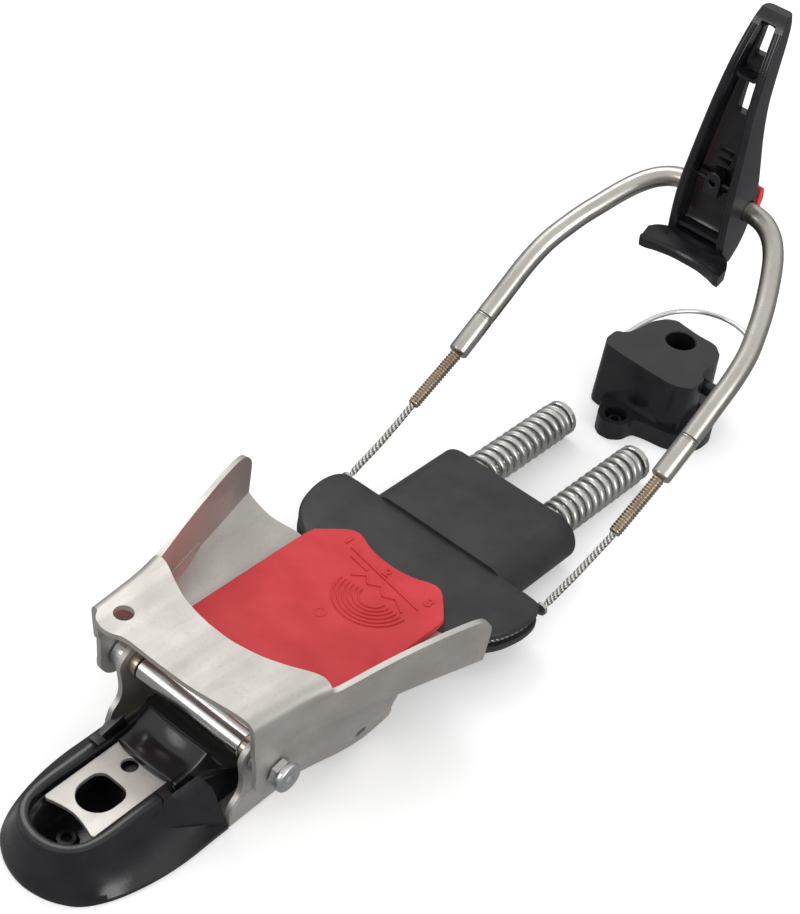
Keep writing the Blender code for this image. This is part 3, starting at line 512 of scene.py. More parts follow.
CUP = [(0, -62.8), (4.0, -62), (7.2, -60), (9.2, -56.6), (9.9, -52), (9.9, -47), (9.9, -41), (9.9, -34),
       (9.9, -30), (9.9, -28)]


def blend_rows(a, b, t):
    return [(p[0] + (q[0] - p[0]) * t, p[1] + (q[1] - p[1]) * t) for p, q in zip(a, b)]


def flare(foot, waist, t):
    """Between foot and waist: a straight lean at the front, a hollow sweep towards the rear."""
    out = []
    for p, q in zip(foot, waist):
        rear = min(1.0, max(0.0, (p[1] + 66) / 26))
        k = t ** (1.0 - 0.5 * rear)
        out.append((p[0] + (q[0] - p[0]) * k, p[1] + (q[1] - p[1]) * k))
    return out


def toe_housing():
    """Skirt, rim and cup lofted from five outlines, with a hood, gussets and the slide's slot."""
    foot, waist, rim, inner, cup = (flowing(k) for k in (FOOT, WAIST, RIM, INNER, CUP))
    cup_middle = [(0, -45)] * len(cup)
    rows = [(foot, 0), (foot, 1.6)]
    rows += [(flare(foot, waist, k / 8), 1.8 + 9.2 * k / 8) for k in range(1, 9)]
    rows += [(blend_rows(waist, rim, 0.45), 13.4), (blend_rows(waist, rim, 0.75), 15.4),
             (blend_rows(waist, rim, 0.9), 16.5), (rim, 16.8), (rim, 17.9),
             (blend_rows(rim, inner, 0.05), RIM_Z - 0.35), (blend_rows(rim, inner, 0.2), RIM_Z),
             (blend_rows(rim, inner, 0.72), RIM_Z), (blend_rows(rim, inner, 0.92), RIM_Z - 0.35),
             (inner, RIM_Z - 1.0), (inner, 14.7),
             (blend_rows(inner, cup, 0.6), 14.0), (cup, 12.6), (cup, 5.0),
             (blend_rows(cup, cup_middle, 0.12), 3.4), (blend_rows(cup, cup_middle, 0.3), 3.2)]
    rings = []
    for half, z in rows:
        ring = []
        for x, y in both(half):
            drop = min(1.0, max(0.0, (y + 29) / 9)) * min(1.0, max(0.0, (abs(x) - 12.8) / 1.5))
            ring.append((x, y, z - drop * max(0.0, z - 9) * 0.75))
        rings.append(ring)
    ob = finish("toe_housing_shell", loft(rings), (), None)
    # hood behind the slide: a scooped top between two cheeks
    crown = curve_flat([(-24.0, 17.3), (-23.4, 18.7), (-21.5, 18.9), (-18, 19.3), (-14.5, 20.2),
                        (-11.5, 21.6), (-9.6, 22.6), (-8.6, 22.4), (-8.0, 20.6), (-7.2, 17.4), (-5.0, 14.2),
                        (0, 12.4)], 4)
    below = [(6, 11.6), (9, 9), (9, 2.6), (-12.0, 2.6), (-12.6, 10), (-20, 12), (-24.0, 15.2)]
    rings = []
    for k in range(25):
        a = math.radians(-90 + 7.5 * k)
        w = math.sin(a)
        ring = []
        for y, z in crown + below:
            upper = min(1.0, max(0.0, (z - 13) / 5))
            edge = HOOD_FOOT_HALF + (HOOD_TOP_HALF - HOOD_FOOT_HALF) * upper
            x = w * edge + 0.9 * upper
            scoop = 1.5 * math.exp(-((x - 3) / 6.5) ** 2 - ((y + 14.5) / 3.6) ** 2) * upper
            fall = (1.2 * w * w + 1.6 * (1 - math.cos(a)) ** 3) * upper
            ring.append((x, y + 1.4 * w * w, z - fall - scoop))
        rings.append(ring)
    combine(ob, loft(rings), "UNION")
    # slanting gussets from the hood out to the foot
    for s in (-1, 1):
        fin = bmesh.new()
        corners = [(15.4, -38.5, 9.4), (27.6, -13.2, 4.4), (25.6, HOUSING_REAR, 6.4),
                   (20.4, HOUSING_REAR, 13.6), (16.9, -15, 18.2), (15.7, -30, 16.9), (10, -38, 3),
                   (10, HOUSING_REAR, 3), (27.2, -13, 2)]
        for x, y, z in corners:
            fin.verts.new((s * x, y, z))
        bmesh.ops.convex_hull(fin, input=fin.verts)
        combine(ob, fin, "UNION")
        lo, hi = sorted((s * 12.9, s * 16.9))
        combine(ob, box((lo, -29.8, 14), (hi, -26.4, 19.6)), "UNION")
    slot = box((-11.8, -40, SLIDE_TOP - SLIDE_T - 0.3), (11.8, -13.4, SLIDE_TOP + 0.4))
    combine(ob, slot)
    stand_for(ob, "toe_housing", "base", 38, 0.45, 2, 38)


def mode_slide():
    front = [(-11.2, -53.2), (-10.2, -53.6)]
    front += [(x, -51.5 - 2.0 * (abs(x) / 9.6) ** 1.7) for x in (-9.6, -7.5, -5, -2.5, 0, 2.5, 5, 7.5, 9.6)]
    front += [(10.2, -53.6), (11.2, -53.2)]
    outline = front + [(11.3, -22), (10.6, -20.4), (-10.6, -20.4), (-11.3, -22)]
    angles = [math.radians(a) for a in range(180, 361, 12)]
    hole = [(7.1 * math.cos(a), -41.2 + 7.3 * math.sin(a)) for a in angles]
    hole += [(7.1, -38), (6.8, -36.4), (5.8, -35.0), (4.6, -34.1), (3.0, -33.8), (-3.0, -33.8), (-4.6, -34.1),
             (-5.8, -35.0), (-6.8, -36.4), (-7.1, -38)]
    bm = prism([outline, hole, circle(-1.8, -26.4, 2.9)], "Z", SLIDE_TOP - SLIDE_T, SLIDE_TOP)
    finish("mode_slide_plate", bm, ("mode_slide",), "mode_slide", bevel=0.28, segments=3, angle=50)


# --- pivot frame and axle
EAR_IN, EAR_T, EAR_R = 26.4, 2.0, 8.0
BOLT_R = 2.9
BORE_GAP = 0.3           # added to the bolt's radius for every hole it passes
TUBE_R, TUBE_HALF = 4.5, 23.0
SOCKET_ACROSS, SOCKET_DEEP = 3.4, 1.4
HEAD_T = 2.3
THREAD_END, THREAD_PITCH = -35.6, 0.8
FRAME_FRONT, FRAME_REAR = -12, 28
BASE_SCREW_X, BASE_SCREW_Y, BASE_SCREW_R = 14, 8, 2.5


def pivot_frame():
    angles = [math.radians(170 - 7 * i) for i in range(25)]
    crown = [(EAR_R * math.cos(a), AXLE_Z + EAR_R * math.sin(a)) for a in angles]
    front = curve_flat([(-12, 4.6), (-10.7, 8.6), (-7.6, 12.2), (-6.6, 16), (-6.9, 20.6), crown[0]], 5)[:-1]
    rear = curve_flat([crown[-1], (9.3, 17), (13, 12.6), (21, 10.6), (26, 8.2), (28, 4.6)], 5)[1:]
    flank = [(FRAME_FRONT, 0)] + front + crown + rear + [(FRAME_REAR, 0)]
    hole = circle(0, AXLE_Z, BOLT_R + BORE_GAP)
    out = EAR_IN + EAR_T
    ob = finish("pivot_frame_sheet", prism([flank, hole], "X", EAR_IN, out), (), None)
    combine(ob, prism([flank, hole], "X", -out, -EAR_IN), "UNION")
    combine(ob, box((-EAR_IN - 0.6, FRAME_FRONT, 0), (EAR_IN + 0.6, FRAME_REAR, EAR_T - 0.1)), "UNION")
    for s in (-1, 1):
        combine(ob, rod(BASE_SCREW_R, -3, 3, "Z", (s * BASE_SCREW_X, BASE_SCREW_Y, 1)))
    for s in (-1, 1):
        lo, hi = sorted((s * (out - 0.2), s * (out + 0.35)))
        ledge = [(-11.9, 0.4), (-11.9, 4.2), (-10.4, 8.2), (-7.4, 10.8), (9, 10.8), (20, 8.8), (27, 6),
                 (27.9, 4), (27.9, 0.4)]
        combine(ob, prism([ledge], "X", lo, hi), "UNION")
    stand_for(ob, "pivot_frame", "base", 30, 0.3, 3, 45)


def axle_bolt():
    lo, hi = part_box("axle_bolt")
    end, start = hi.x / MM, lo.x / MM
    head_in = end - HEAD_T
    prof = [(0, start), (BOLT_R - 0.5, start), (BOLT_R, start + 0.5)]
    x = start + 0.9
    while x < THREAD_END:
        prof += [(BOLT_R, x), (BOLT_R - 0.28, x + 0.3), (BOLT_R, x + 0.6)]
        x += THREAD_PITCH
    prof += [(BOLT_R, head_in), (4.7, head_in), (5.1, head_in + 0.15), (5.25, head_in + 0.5),
             (5.25, end - 0.8), (5.1, end - 0.35), (4.7, end - 0.05), (4.4, end), (0, end)]
    ob = finish("axle_bolt_turned", turn(prof, "X", (0, 0, AXLE_Z), 64), ("axle_bolt",), "base", smooth=40)
    corner = SOCKET_ACROSS / 2 / math.cos(math.pi / 6)
    bm = prism([circle(0, 0, corner, 6)], "Z", end - SOCKET_DEEP, end + 1)
    bmesh.ops.transform(bm, matrix=Matrix.Translation((0, 0, AXLE_Z)) @ Matrix.Rotation(math.pi / 2, 4, "Y"),
                        verts=bm.verts)
    combine(ob, bm)
    shade(ob, 35)


def axle_tube():
    lip = 0.5
    r_in, r_out, half = BOLT_R + BORE_GAP, TUBE_R, TUBE_HALF
    prof = [(r_in, -half + lip), (r_in + 0.3, -half), (r_out - lip, -half), (r_out, -half + lip),
            (r_out, half - lip), (r_out - lip, half), (r_in + 0.3, half), (r_in, half - lip)]
    finish("axle_tube_turned", turn(prof, "X", (0, 0, DATUM_Z), 64), ("axle_tube",), "toe", TOE, POLISHED)


# --- toe plate
SHEET = 2.0
FLOOR_Z = 16.5
FLOOR_HALF = 34.0
FLOOR_REAR = 84.5
STRAP_Z = 45.0
STRAP_BEND = 3.0
STRAP_HOLE, STRAP_HOLE_R = (-25.3, -8.8), 3.4
LOBE_R = 9.3
WALL_X = 34.8
CREASE_Z = FLOOR_Z + 11.3
CHEEK_TOP = CREASE_Z + 2.6
CREASE_X = [(-11, WALL_X), (9.5, WALL_X + 0.6), (18, 38.2), (32, 42), (57, 48.2), (69, 51.6), (78, 54)]
TOP_X = [(-13, WALL_X), (9.5, 37.0), (18, 39.2), (32, 43.0), (46, 46.6), (60, 50.4), (71, 53.2), (79, 54.4)]
TOP_Z = [(-13, STRAP_Z - STRAP_BEND), (18, STRAP_Z - STRAP_BEND), (22, STRAP_Z - 2.8), (32, STRAP_Z - 0.4),
         (46, STRAP_Z + 1.6), (60, STRAP_Z + 2.8), (71, STRAP_Z + 2.8), (75.4, STRAP_Z + 1.4),
         (78.4, STRAP_Z - 3)]
STRAP_FRONT = [(-1.0, -13.5), (-0.98, -15.6), (-0.9, -17.4), (-0.8, -18.4), (-0.68, -18.2), (-0.58, -16.2),
               (-0.48, -15.8), (-0.12, -16), (0.36, -15.6), (0.64, -14.2), (0.86, -13.2), (1.0, -13.0)]
STRAP_REAR = [(-1.0, 17.9), (-0.89, 17.0), (-0.72, 13.6), (-0.47, 9.8), (-0.17, 7.6), (0.17, 7.6),
              (0.47, 9.8), (0.72, 13.6), (0.89, 17.0), (1.0, 17.9)]
# y on the floor, at the crease and along the top edge; the first three columns have no floor
COLUMNS = [(None, -10.7, -12.6), (None, -3.5, -5), (None, 3.5, 3), (10.2, 10.5, 11), (17.5, 17.5, 17.9),
           (22, 22, 22), (32, 32, 32), (46, 46, 46), (60, 60, 60), (70, 69, 71), (78, 74.4, 75.4),
           (FLOOR_REAR, 77.7, 78.4)]
STRAP_COLUMNS = 4
STRAP_SHARES = [-1.0, -0.95, -0.9, -0.8, -0.68, -0.58, -0.48, -0.3, -0.12, 0.03, 0.17, 0.32, 0.47, 0.6, 0.72,
                0.89, 0.95, 1.0]


def toe_surface():
    """Middle surface of the sheet: floor, sloped sides, walls and the strap over the front."""
    bm = bmesh.new()
    crease = bm.edges.layers.float.new("crease_edge")
    made = {}

    def vert(key, x, y, z):
        if key not in made:
            made[key] = bm.verts.new((x, y, z))

    def quad(keys):
        bm.faces.new([made[k] for k in keys])

    last = len(COLUMNS) - 1
    for i, (yf, yc, yt) in enumerate(COLUMNS):
        for s in (-1, 1):
            cx, tx, tz = at(CREASE_X, yc), at(TOP_X, yt), at(TOP_Z, yt)
            rows = [("crease", cx, yc, CREASE_Z), ("wall", cx * 0.6 + tx * 0.4, yc * 0.6 + yt * 0.4,
                                                   CREASE_Z * 0.6 + tz * 0.4 if i < last else CREASE_Z + 5),
                    ("top", tx, yt, tz)]
            if yf is not None:
                scoop = 3.0 if i == last else 0.0
                rows += [("slope", cx * 0.45 + (FLOOR_HALF + 0.6) * 0.55, yc * 0.45 + yf * 0.55 - scoop,
                          CREASE_Z * 0.45 + FLOOR_Z * 0.55),
                         ("bend", FLOOR_HALF + 0.6, yf, FLOOR_Z + 1.6),
                         ("edge", FLOOR_HALF - 2.2, yf, FLOOR_Z)]
            for tag, x, y, z in rows:
                vert((tag, s, i), s * x, y, z)
        if yf is not None:
            y_step = yf - 5.5 if i == 3 else yf
            for s in (-1, 1):
                vert(("side", s, i), s * 25.2, yf, FLOOR_Z)
                vert(("mid", s, i), s * 25.0, y_step, FLOOR_Z)
    for i in range(last):
        for s in (-1, 1):
            chain = ["crease", "wall", "top"]
            if COLUMNS[i][0] is not None:
                chain = ["side", "edge", "bend", "slope"] + chain
            for a, b in zip(chain, chain[1:]):
                quad([(a, s, i), (a, s, i + 1), (b, s, i + 1), (b, s, i)][::s])
        if COLUMNS[i][0] is not None:
            pair = ["mid", "mid"] if i == 3 else ["side", "side"]
            quad([(pair[0], -1, i), ("side", -1, i + 1), ("side", 1, i + 1), (pair[0], 1, i)])
    for i in range(STRAP_COLUMNS + 1):
        t = i / STRAP_COLUMNS
        for s in (-1, 1):
            y_wall = COLUMNS[i][2]
            tx = at(TOP_X, y_wall) - STRAP_BEND
            y_in = at(STRAP_FRONT, s) * (1 - t) + at(STRAP_REAR, s) * t
            for k, deg in enumerate((30, 60)):
                w = (k + 1) / 3
                vert(("bend%d" % k, s, i), s * (tx + STRAP_BEND * math.cos(math.radians(deg))),
                     y_wall * (1 - w) + y_in * w, STRAP_Z - STRAP_BEND * (1 - math.sin(math.radians(deg))))
        for f in STRAP_SHARES:
            y = at(STRAP_FRONT, f) * (1 - t) + at(STRAP_REAR, f) * t
            vert(("strap", f, i), f * (at(TOP_X, COLUMNS[i][2]) - STRAP_BEND), y, STRAP_Z)
    for i in range(STRAP_COLUMNS):
        chain = [("top", -1), ("bend0", -1), ("bend1", -1)] + [("strap", f) for f in STRAP_SHARES] + \
            [("bend1", 1), ("bend0", 1), ("top", 1)]
        for a, b in zip(chain, chain[1:]):
            quad([(*a, i), (*b, i), (*b, i + 1), (*a, i + 1)])
    for i in range(last):
        for s in (-1, 1):
            e = bm.edges.get((made[("crease", s, i)], made[("crease", s, i + 1)]))
            e[crease] = 1.0
    for e in bm.edges:
        if e.is_boundary:
            e[crease] = 0.3
    return bm


def wall_x(y, z):
    """Middle of the wall sheet near and below the crease, where it runs on down as a cheek."""
    crease = at(CREASE_X, y)
    if z <= CREASE_Z:
        x = WALL_X + (crease - WALL_X) * (z + 1.5) / (CREASE_Z + 1.5)
    else:
        x = crease + (at(TOP_X, y) - crease) * (z - CREASE_Z) / (at(TOP_Z, y) - CREASE_Z)
    return x - 0.3 * min(1.0, max(0.0, (z - CREASE_Z + 3) / 4))


def toe_plate():
    """Bent sheet with a cheek on each side that comes down to the axle."""
    ob = finish("toe_plate_sheet", toe_surface(), (), None, TOE)
    sub = ob.modifiers.new("fine", "SUBSURF")
    sub.levels = sub.render_levels = 3
    thick = ob.modifiers.new("sheet", "SOLIDIFY")
    thick.thickness = SHEET * MM
    thick.offset = 0
    thick.use_even_offset = True
    settle(ob)
    lobe = [(LOBE_R * math.sin(math.radians(a)), DATUM_Z - LOBE_R * math.cos(math.radians(a)))
            for a in range(-100, 20, 8)]
    lower = curve_flat([(12, 7.2), (21, 5.4), (32, 1.8), (43, -1.4), (48.2, -1.2), (51, 2), (52, 6),
                        (50, 11.5), (46.6, 19), (44.5, CHEEK_TOP)], 4)
    cheek = [(y, CHEEK_TOP) for y in (36, 27, 18, 9, 0, -10.3)] + lobe + lower
    relief = [(36.2, 6.4), (38.4, 6.0), (40.2, 7.6), (39.8, 10.4), (37.8, 11.2), (36.0, 9.6)]
    half = SHEET / 2 - 0.03
    for s in (-1, 1):
        bm = prism([cheek, circle(0, DATUM_Z, BOLT_R + BORE_GAP), relief], "X", -half, half)
        bmesh.ops.triangulate(bm, faces=[f for f in bm.faces if len(f.verts) > 4])
        for v in bm.verts:
            v.co.x += s * wall_x(v.co.y, v.co.z)
        combine(ob, bm, "UNION", TOE)
    combine(ob, rod(STRAP_HOLE_R, STRAP_Z - 6, STRAP_Z + 6, "Z", (*STRAP_HOLE, 0)), place=TOE)
    stand_for(ob, "toe_plate", "toe", 34, 0.3, 3, 50)


# --- boot pad
PAD_BOT = FLOOR_Z + SHEET / 2 + 0.3
PAD_T = 2.7
PAD_TOP = PAD_BOT + PAD_T
MOTIF_X, MOTIF_Y = 7.0, 78.0
BAR_HALF, MARK_HIGH = 0.42, 0.5


def raised_ring(cx, cy, r, wide, high, bm, span=360):
    """A raised bead round the whole circle, or on its front side only."""
    n = max(12, span // 6)
    turns = [math.radians(270 - span / 2 + span * i / n) for i in range(n + 1)]
    section = [(-wide, -0.2), (-wide, high * 0.6), (-wide * 0.5, high), (wide * 0.5, high),
               (wide, high * 0.6), (wide, -0.2)]
    rings = [[(cx + (r + u) * math.cos(a), cy + (r + u) * math.sin(a), PAD_TOP + v) for u, v in section]
             for a in turns]
    loft(rings, bm)


def raised_bar(x0, y0, x1, y1, bm):
    d = Vector((x1 - x0, y1 - y0, 0)).normalized()
    side = Vector((-d.y, d.x, 0)) * BAR_HALF
    up, down = Vector((0, 0, MARK_HIGH)), Vector((0, 0, -0.2))
    rings = []
    for x, y in ((x0, y0), (x1, y1)):
        q = Vector((x, y, PAD_TOP))
        rings.append([q - side + down, q - side * 0.7 + up,
                      q + side * 0.7 + up, q + side + down])
    loft(rings, bm)


def numeral(text, x, y, size, bm):
    data = bpy.data.curves.new("numeral", "FONT")
    data.body = text
    data.size = size
    data.extrude = 0.35
    data.bevel_depth = 0.08
    data.align_x = "CENTER"
    data.align_y = "CENTER"
    ob = new_object("numeral", data)
    me = result_mesh(ob)
    me.transform(Matrix.Translation((x, y, PAD_TOP + 0.05)))
    bm.from_mesh(me)
    bpy.data.objects.remove(ob, do_unlink=True)
    bpy.data.curves.remove(data)
    bpy.data.meshes.remove(me)


def toe_pad():
    rear = [(30.8, 84.5), (30.2, 88.4), (26.4, 92.8), (22.4, 97.2), (20.0, 98.8), (17.4, 99.1), (14.6, 98.2),
            (12, 96.9), (9, 95.9), (6, 95.3), (3, 94.9), (0, 94.8)]
    outline = both([(0, 11), (30.4, 11), (31, 11.6), (31, 30), (31, 50), (31, 70)] + rear)
    finish("toe_pad_moulding", prism([outline], "Z", PAD_BOT, PAD_TOP), ("toe_pad",), "toe", TOE,
           smooth=30, bevel=0.55, segments=4, angle=40)
    bm = bmesh.new()
    for r in (14.2, 12.4, 10.6, 8.8, 7.0, 5.2):
        raised_ring(MOTIF_X, MOTIF_Y, r, 0.38, MARK_HIGH, bm, 176)
    raised_bar(-14.5, 91.0, 21.6, 84.6, bm)
    raised_bar(-11.5, 87.6, -3.0, 86.2, bm)
    peaks = [(-5.5, 80.5), (-1.5, 84.4), (1.5, 81.4), (5.5, 84.0), (9, 80.6), (13, 82.8), (18.5, 79.4)]
    for (x0, y0), (x1, y1) in zip(peaks, peaks[1:]):
        raised_bar(x0, y0, x1, y1, bm)
    raised_ring(-0.3, 59, 1.9, 0.4, 0.22, bm)
    for text, x, y in (("1", -17.5, 93.0), ("2", 2.5, 90.6), ("3", 22.0, 90.0)):
        numeral(text, x, y, 5.6, bm)
    marks = finish("toe_pad_marks", bm, (), None, TOE, smooth=40)
    marks.data.materials.append(MATERIALS["red_plastic"])
    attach(marks, "toe")


# --- guide block, spring box, springs
CABLE_R, CABLE_X, CABLE_Z = 1.3, 46.0, 13.2
EXIT_Y = 124.0
GROOVE_DEEP = 4.2
BLOCK_TOP, BLOCK_BOT = 17.6, 8.4
LOBE = [(0, FLOOR_REAR + 0.5), (30, FLOOR_REAR + 0.5), (36, 88.6), (42, 93.6), (46.2, 100), (48.4, 107.5),
        (49, 114), (48, 119.6), (45.2, 122.8), (40, EXIT_Y - 0.6), (0, EXIT_Y - 0.6)]


def shrink(half, d):
    """A half outline drawn in by about d, less towards the middle."""
    out = []
    for x, y in half:
        out.append((x if x < 31 else x - d * (0.45 + 0.55 * min(1, (x - 31) / 12)),
                    y + d * max(0, min(1, (104 - y) / 20)) - d * max(0, min(1, (y - 112) / 10))))
    return out


def fine_lobe():
    return [LOBE[0]] + curve_flat(LOBE[1:-1], 6) + [LOBE[-1]]


def guide_block():
    lobe = fine_lobe()
    groove_lo, groove_hi, deep = CABLE_Z - 1.75, CABLE_Z + 1.75, GROOVE_DEEP
    rows = [(0.9, BLOCK_BOT), (0.3, BLOCK_BOT + 0.3), (0, BLOCK_BOT + 0.9), (0, groove_lo - 0.35),
            (0.15, groove_lo), (deep - 0.5, groove_lo), (deep, groove_lo + 0.6), (deep, groove_hi - 0.6),
            (deep - 0.5, groove_hi), (0.15, groove_hi), (0, groove_hi + 0.35), (0, BLOCK_TOP - 1.4),
            (0.25, BLOCK_TOP - 0.75), (0.7, BLOCK_TOP - 0.25), (1.4, BLOCK_TOP)]
    bm = loft([[(x, y, z) for x, y in both(shrink(lobe, d))] for d, z in rows])
    ob = finish("guide_block_moulding", bm, (), None, TOE)
    combine(ob, box((-24, 58.5, BLOCK_BOT), (24, FLOOR_REAR + 4, FLOOR_Z - SHEET / 2 - 0.3)), "UNION", TOE)
    stand_for(ob, "guide_block", "toe", 35, 0.25, 2, 50)


BOX_FRONT, BOX_REAR, BOX_TOP, BOX_R = EXIT_Y - 0.2, 164.0, 19.0, 9.95
SPRING_X, SPRING_Z = 18.0, 8.6
BORE_R = 8.2


def spring_box():
    section = [(22.8 + BOX_R * math.cos(math.radians(90 - 6 * i)) * 0.98,
                BOX_TOP - BOX_R + BOX_R * math.sin(math.radians(90 - 6 * i))) for i in range(31)]
    section += [(-x, z) for x, z in reversed(section)]
    ob = finish("spring_box_moulding", prism([section], "Y", BOX_FRONT - 1.6, BOX_REAR), (), None, TOE)
    for s in (-1, 1):
        combine(ob, turn([(0, BOX_FRONT + 3.2), (BORE_R, BOX_FRONT + 3.2), (BORE_R, BOX_REAR - 0.6),
                          (BORE_R + 0.6, BOX_REAR), (BORE_R + 0.6, BOX_REAR + 8), (0, BOX_REAR + 8)], "Y",
                         (s * SPRING_X, 0, SPRING_Z), 64), place=TOE)
    combine(ob, box((-7.4, BOX_REAR - 5, 3.0), (7.4, BOX_REAR + 4, BOX_TOP - 3.4)), place=TOE)
    stand_for(ob, "spring_box", "toe", 35, 0.35, 3, 50)


SPRING_R, WIRE_R = 6.1, 1.42
SPRING_FRONT, SPRING_REAR, COILS = 127.6, 220.0, 21.5
DEAD = 1.25              # closed turns at each end


def spring(tag, s):
    """Compression spring coiled from the toe unit to its own end."""
    length = SPRING_REAR - SPRING_FRONT - 2 * WIRE_R
    closed = 2.05 * WIRE_R
    pitch = (length - 2 * DEAD * closed) / (COILS - 2 * DEAD)
    pts = []
    steps = int(COILS * 22)
    for i in range(steps + 1):
        t = i / steps * COILS
        if t < DEAD:
            y = t * closed
        elif t > COILS - DEAD:
            y = length - (COILS - t) * closed
        else:
            y = DEAD * closed + (t - DEAD) * pitch
        a = 2 * math.pi * t
        pts.append((s * (SPRING_X + SPRING_R * math.cos(a)), SPRING_FRONT + WIRE_R + y,
                    SPRING_Z + SPRING_R * math.sin(a)))
    node = "spring_" + tag
    ob = finish(node + "_coils", sweep(pts, WIRE_R, 12), (node,), None, TOE, smooth=60)
    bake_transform(ob)


# --- heel loop: cables, studs, sleeves, tube
LOOP_TUBE_R = 3.95
HINGE_Y = EXIT_Y + 2.3
STUD_A = Vector((47.6, 161.5, 28.2))
STUD_B = Vector((47.8, 185.0, 41.0))
CABLE_PTS = [(CABLE_X, HINGE_Y, CABLE_Z), (46.05, HINGE_Y + 1.2, CABLE_Z + 0.3), (46.3, 131, 15.2),
             (46.8, 143, 19.4), (47.3, 154, 24.4)]
TUBE_PTS = [(48, 200.2, 51.4), (48, 207, 56.2), (48, 213, 60.6), (48, 220, 65.6), (47.6, 226, 69.8),
            (46.6, 232, 74.0), (44.6, 238, 78.2), (41.8, 245, 83.0), (38.8, 251, 87.0), (35.4, 257, 91.4),
            (31.6, 262.6, 95.4), (27, 267.2, 98.7), (21.5, 270.3, 100.9), (15.5, 271.6, 101.8),
            (8, 271.7, 101.9)]
STRANDS = 7
LAY = 14.0               # length of one turn of the strands
TAPER = 2.6


def strands(route, taper=0.0):
    """Laid wire strands round a core along the route, one closed tube for each strand. They start thin
    over the taper length, where the cable turns in its exit."""
    bm = bmesh.new()
    far = [0.0]
    for p, q in zip(route, route[1:]):
        far.append(far[-1] + (q - p).length)
    grow = [min(1.0, 0.35 + 0.65 * d / taper) if taper else 1.0 for d in far]
    sweep(route, [CABLE_R * 0.55 * g for g in grow], 8, bm)
    run = 0.0
    rings = []
    u = (route[1] - route[0]).cross(Vector((0, 0, 1))).normalized()
    for i, q in enumerate(route):
        t = (route[min(i + 1, len(route) - 1)] - route[max(i - 1, 0)]).normalized()
        u = (u - t * u.dot(t)).normalized()
        if i:
            run += (q - route[i - 1]).length
        rings.append((q, u.copy(), t.cross(u), run))
    for k in range(STRANDS):
        path = []
        for (q, a, b, d), g in zip(rings, grow):
            ang = 2 * math.pi * (k / STRANDS + d / LAY)
            path.append(q + (a * math.cos(ang) + b * math.sin(ang)) * CABLE_R * 0.66 * g)
        sweep(path, [CABLE_R * 0.36 * g for g in grow], 8, bm)
    return bm


def turned_between(a, b, profile, seg):
    """A profile turned about the line from a towards b, starting at a."""
    bm = turn(profile, "Z", (0, 0, 0), seg)
    aim = Vector((0, 0, 1)).rotation_difference((b - a).normalized()).to_matrix().to_4x4()
    bmesh.ops.transform(bm, matrix=Matrix.Translation(a) @ aim, verts=bm.verts)
    return bm


def loop_side(tag, s):
    """One side of the heel loop: free cable, threaded stud and sleeve."""
    def flip(p):
        return (s * p[0], p[1], p[2])

    a, b = Vector(flip(STUD_A)), Vector(flip(STUD_B))
    d = (b - a).normalized()
    end = a - d * 0.3
    route = curve_through([flip(p) for p in CABLE_PTS] + [tuple(end - d * 3), tuple(end)], 12)
    node = "cable_span_" + tag
    ob = finish(node + "_wire", strands(route, TAPER), (node,), "heel_loop", TOE, CABLE, smooth=60)
    # threaded stud: closely spaced fine turns between plain ends
    size = (b - a).length
    prof = [(0, 0), (1.9, 0), (2.2, 0.3), (2.2, 0.8)]
    h = 1.0
    while h < size - 1.2:
        prof += [(1.8, h), (2.42, h + 0.45), (2.42, h + 0.7)]
        h += 1.2
    prof += [(2.1, size - 0.4), (1.9, size), (0, size)]
    node = "threaded_stud_" + tag
    finish(node + "_turned", turned_between(a, b, prof, 40), (node,), "heel_loop", TOE, smooth=50)
    first = Vector(flip(TUBE_PTS[0]))
    size = (first - b).length
    prof = [(0, 0.3), (2.6, 0.3), (LOOP_TUBE_R - 0.55, 0.35), (LOOP_TUBE_R - 0.1, 0.8), (LOOP_TUBE_R, 1.3),
            (LOOP_TUBE_R, size - 1.6), (LOOP_TUBE_R - 0.35, size - 1.3), (LOOP_TUBE_R - 0.35, size - 1.0),
            (LOOP_TUBE_R, size - 0.7), (LOOP_TUBE_R - 0.1, size - 0.3), (0, size - 0.3)]
    node = "loop_sleeve_" + tag
    finish(node + "_turned", turned_between(b, first, prof, 48), (node,), "heel_loop", TOE, smooth=35)


def cable_wrap(tag, s):
    wrap = shrink(LOBE, GROOVE_DEEP - CABLE_R - 0.65)[8:1:-1]
    wrap = [(wrap[0][0] + 0.2, 121.4)] + wrap[1:] + [(31.5, wrap[-1][1] - 2.0)]
    route = curve_through([(s * x, y, CABLE_Z) for x, y in wrap], 10)
    node = "cable_wrap_" + tag
    finish(node + "_wire", strands(route), (node,), "toe", TOE, CABLE, smooth=60)


def heel_tube():
    half = curve_through(TUBE_PTS, 4)
    full = list(half) + [Vector((-q.x, q.y, q.z)) for q in reversed(half)]
    finish("heel_tube_bent", sweep(full, LOOP_TUBE_R, 32), ("heel_tube",), "heel_loop", TOE, smooth=50,
           bevel=0.4, segments=2, angle=60)


# --- heel lever
LEVER_Y, LEVER_Z = 274.9, 99.2
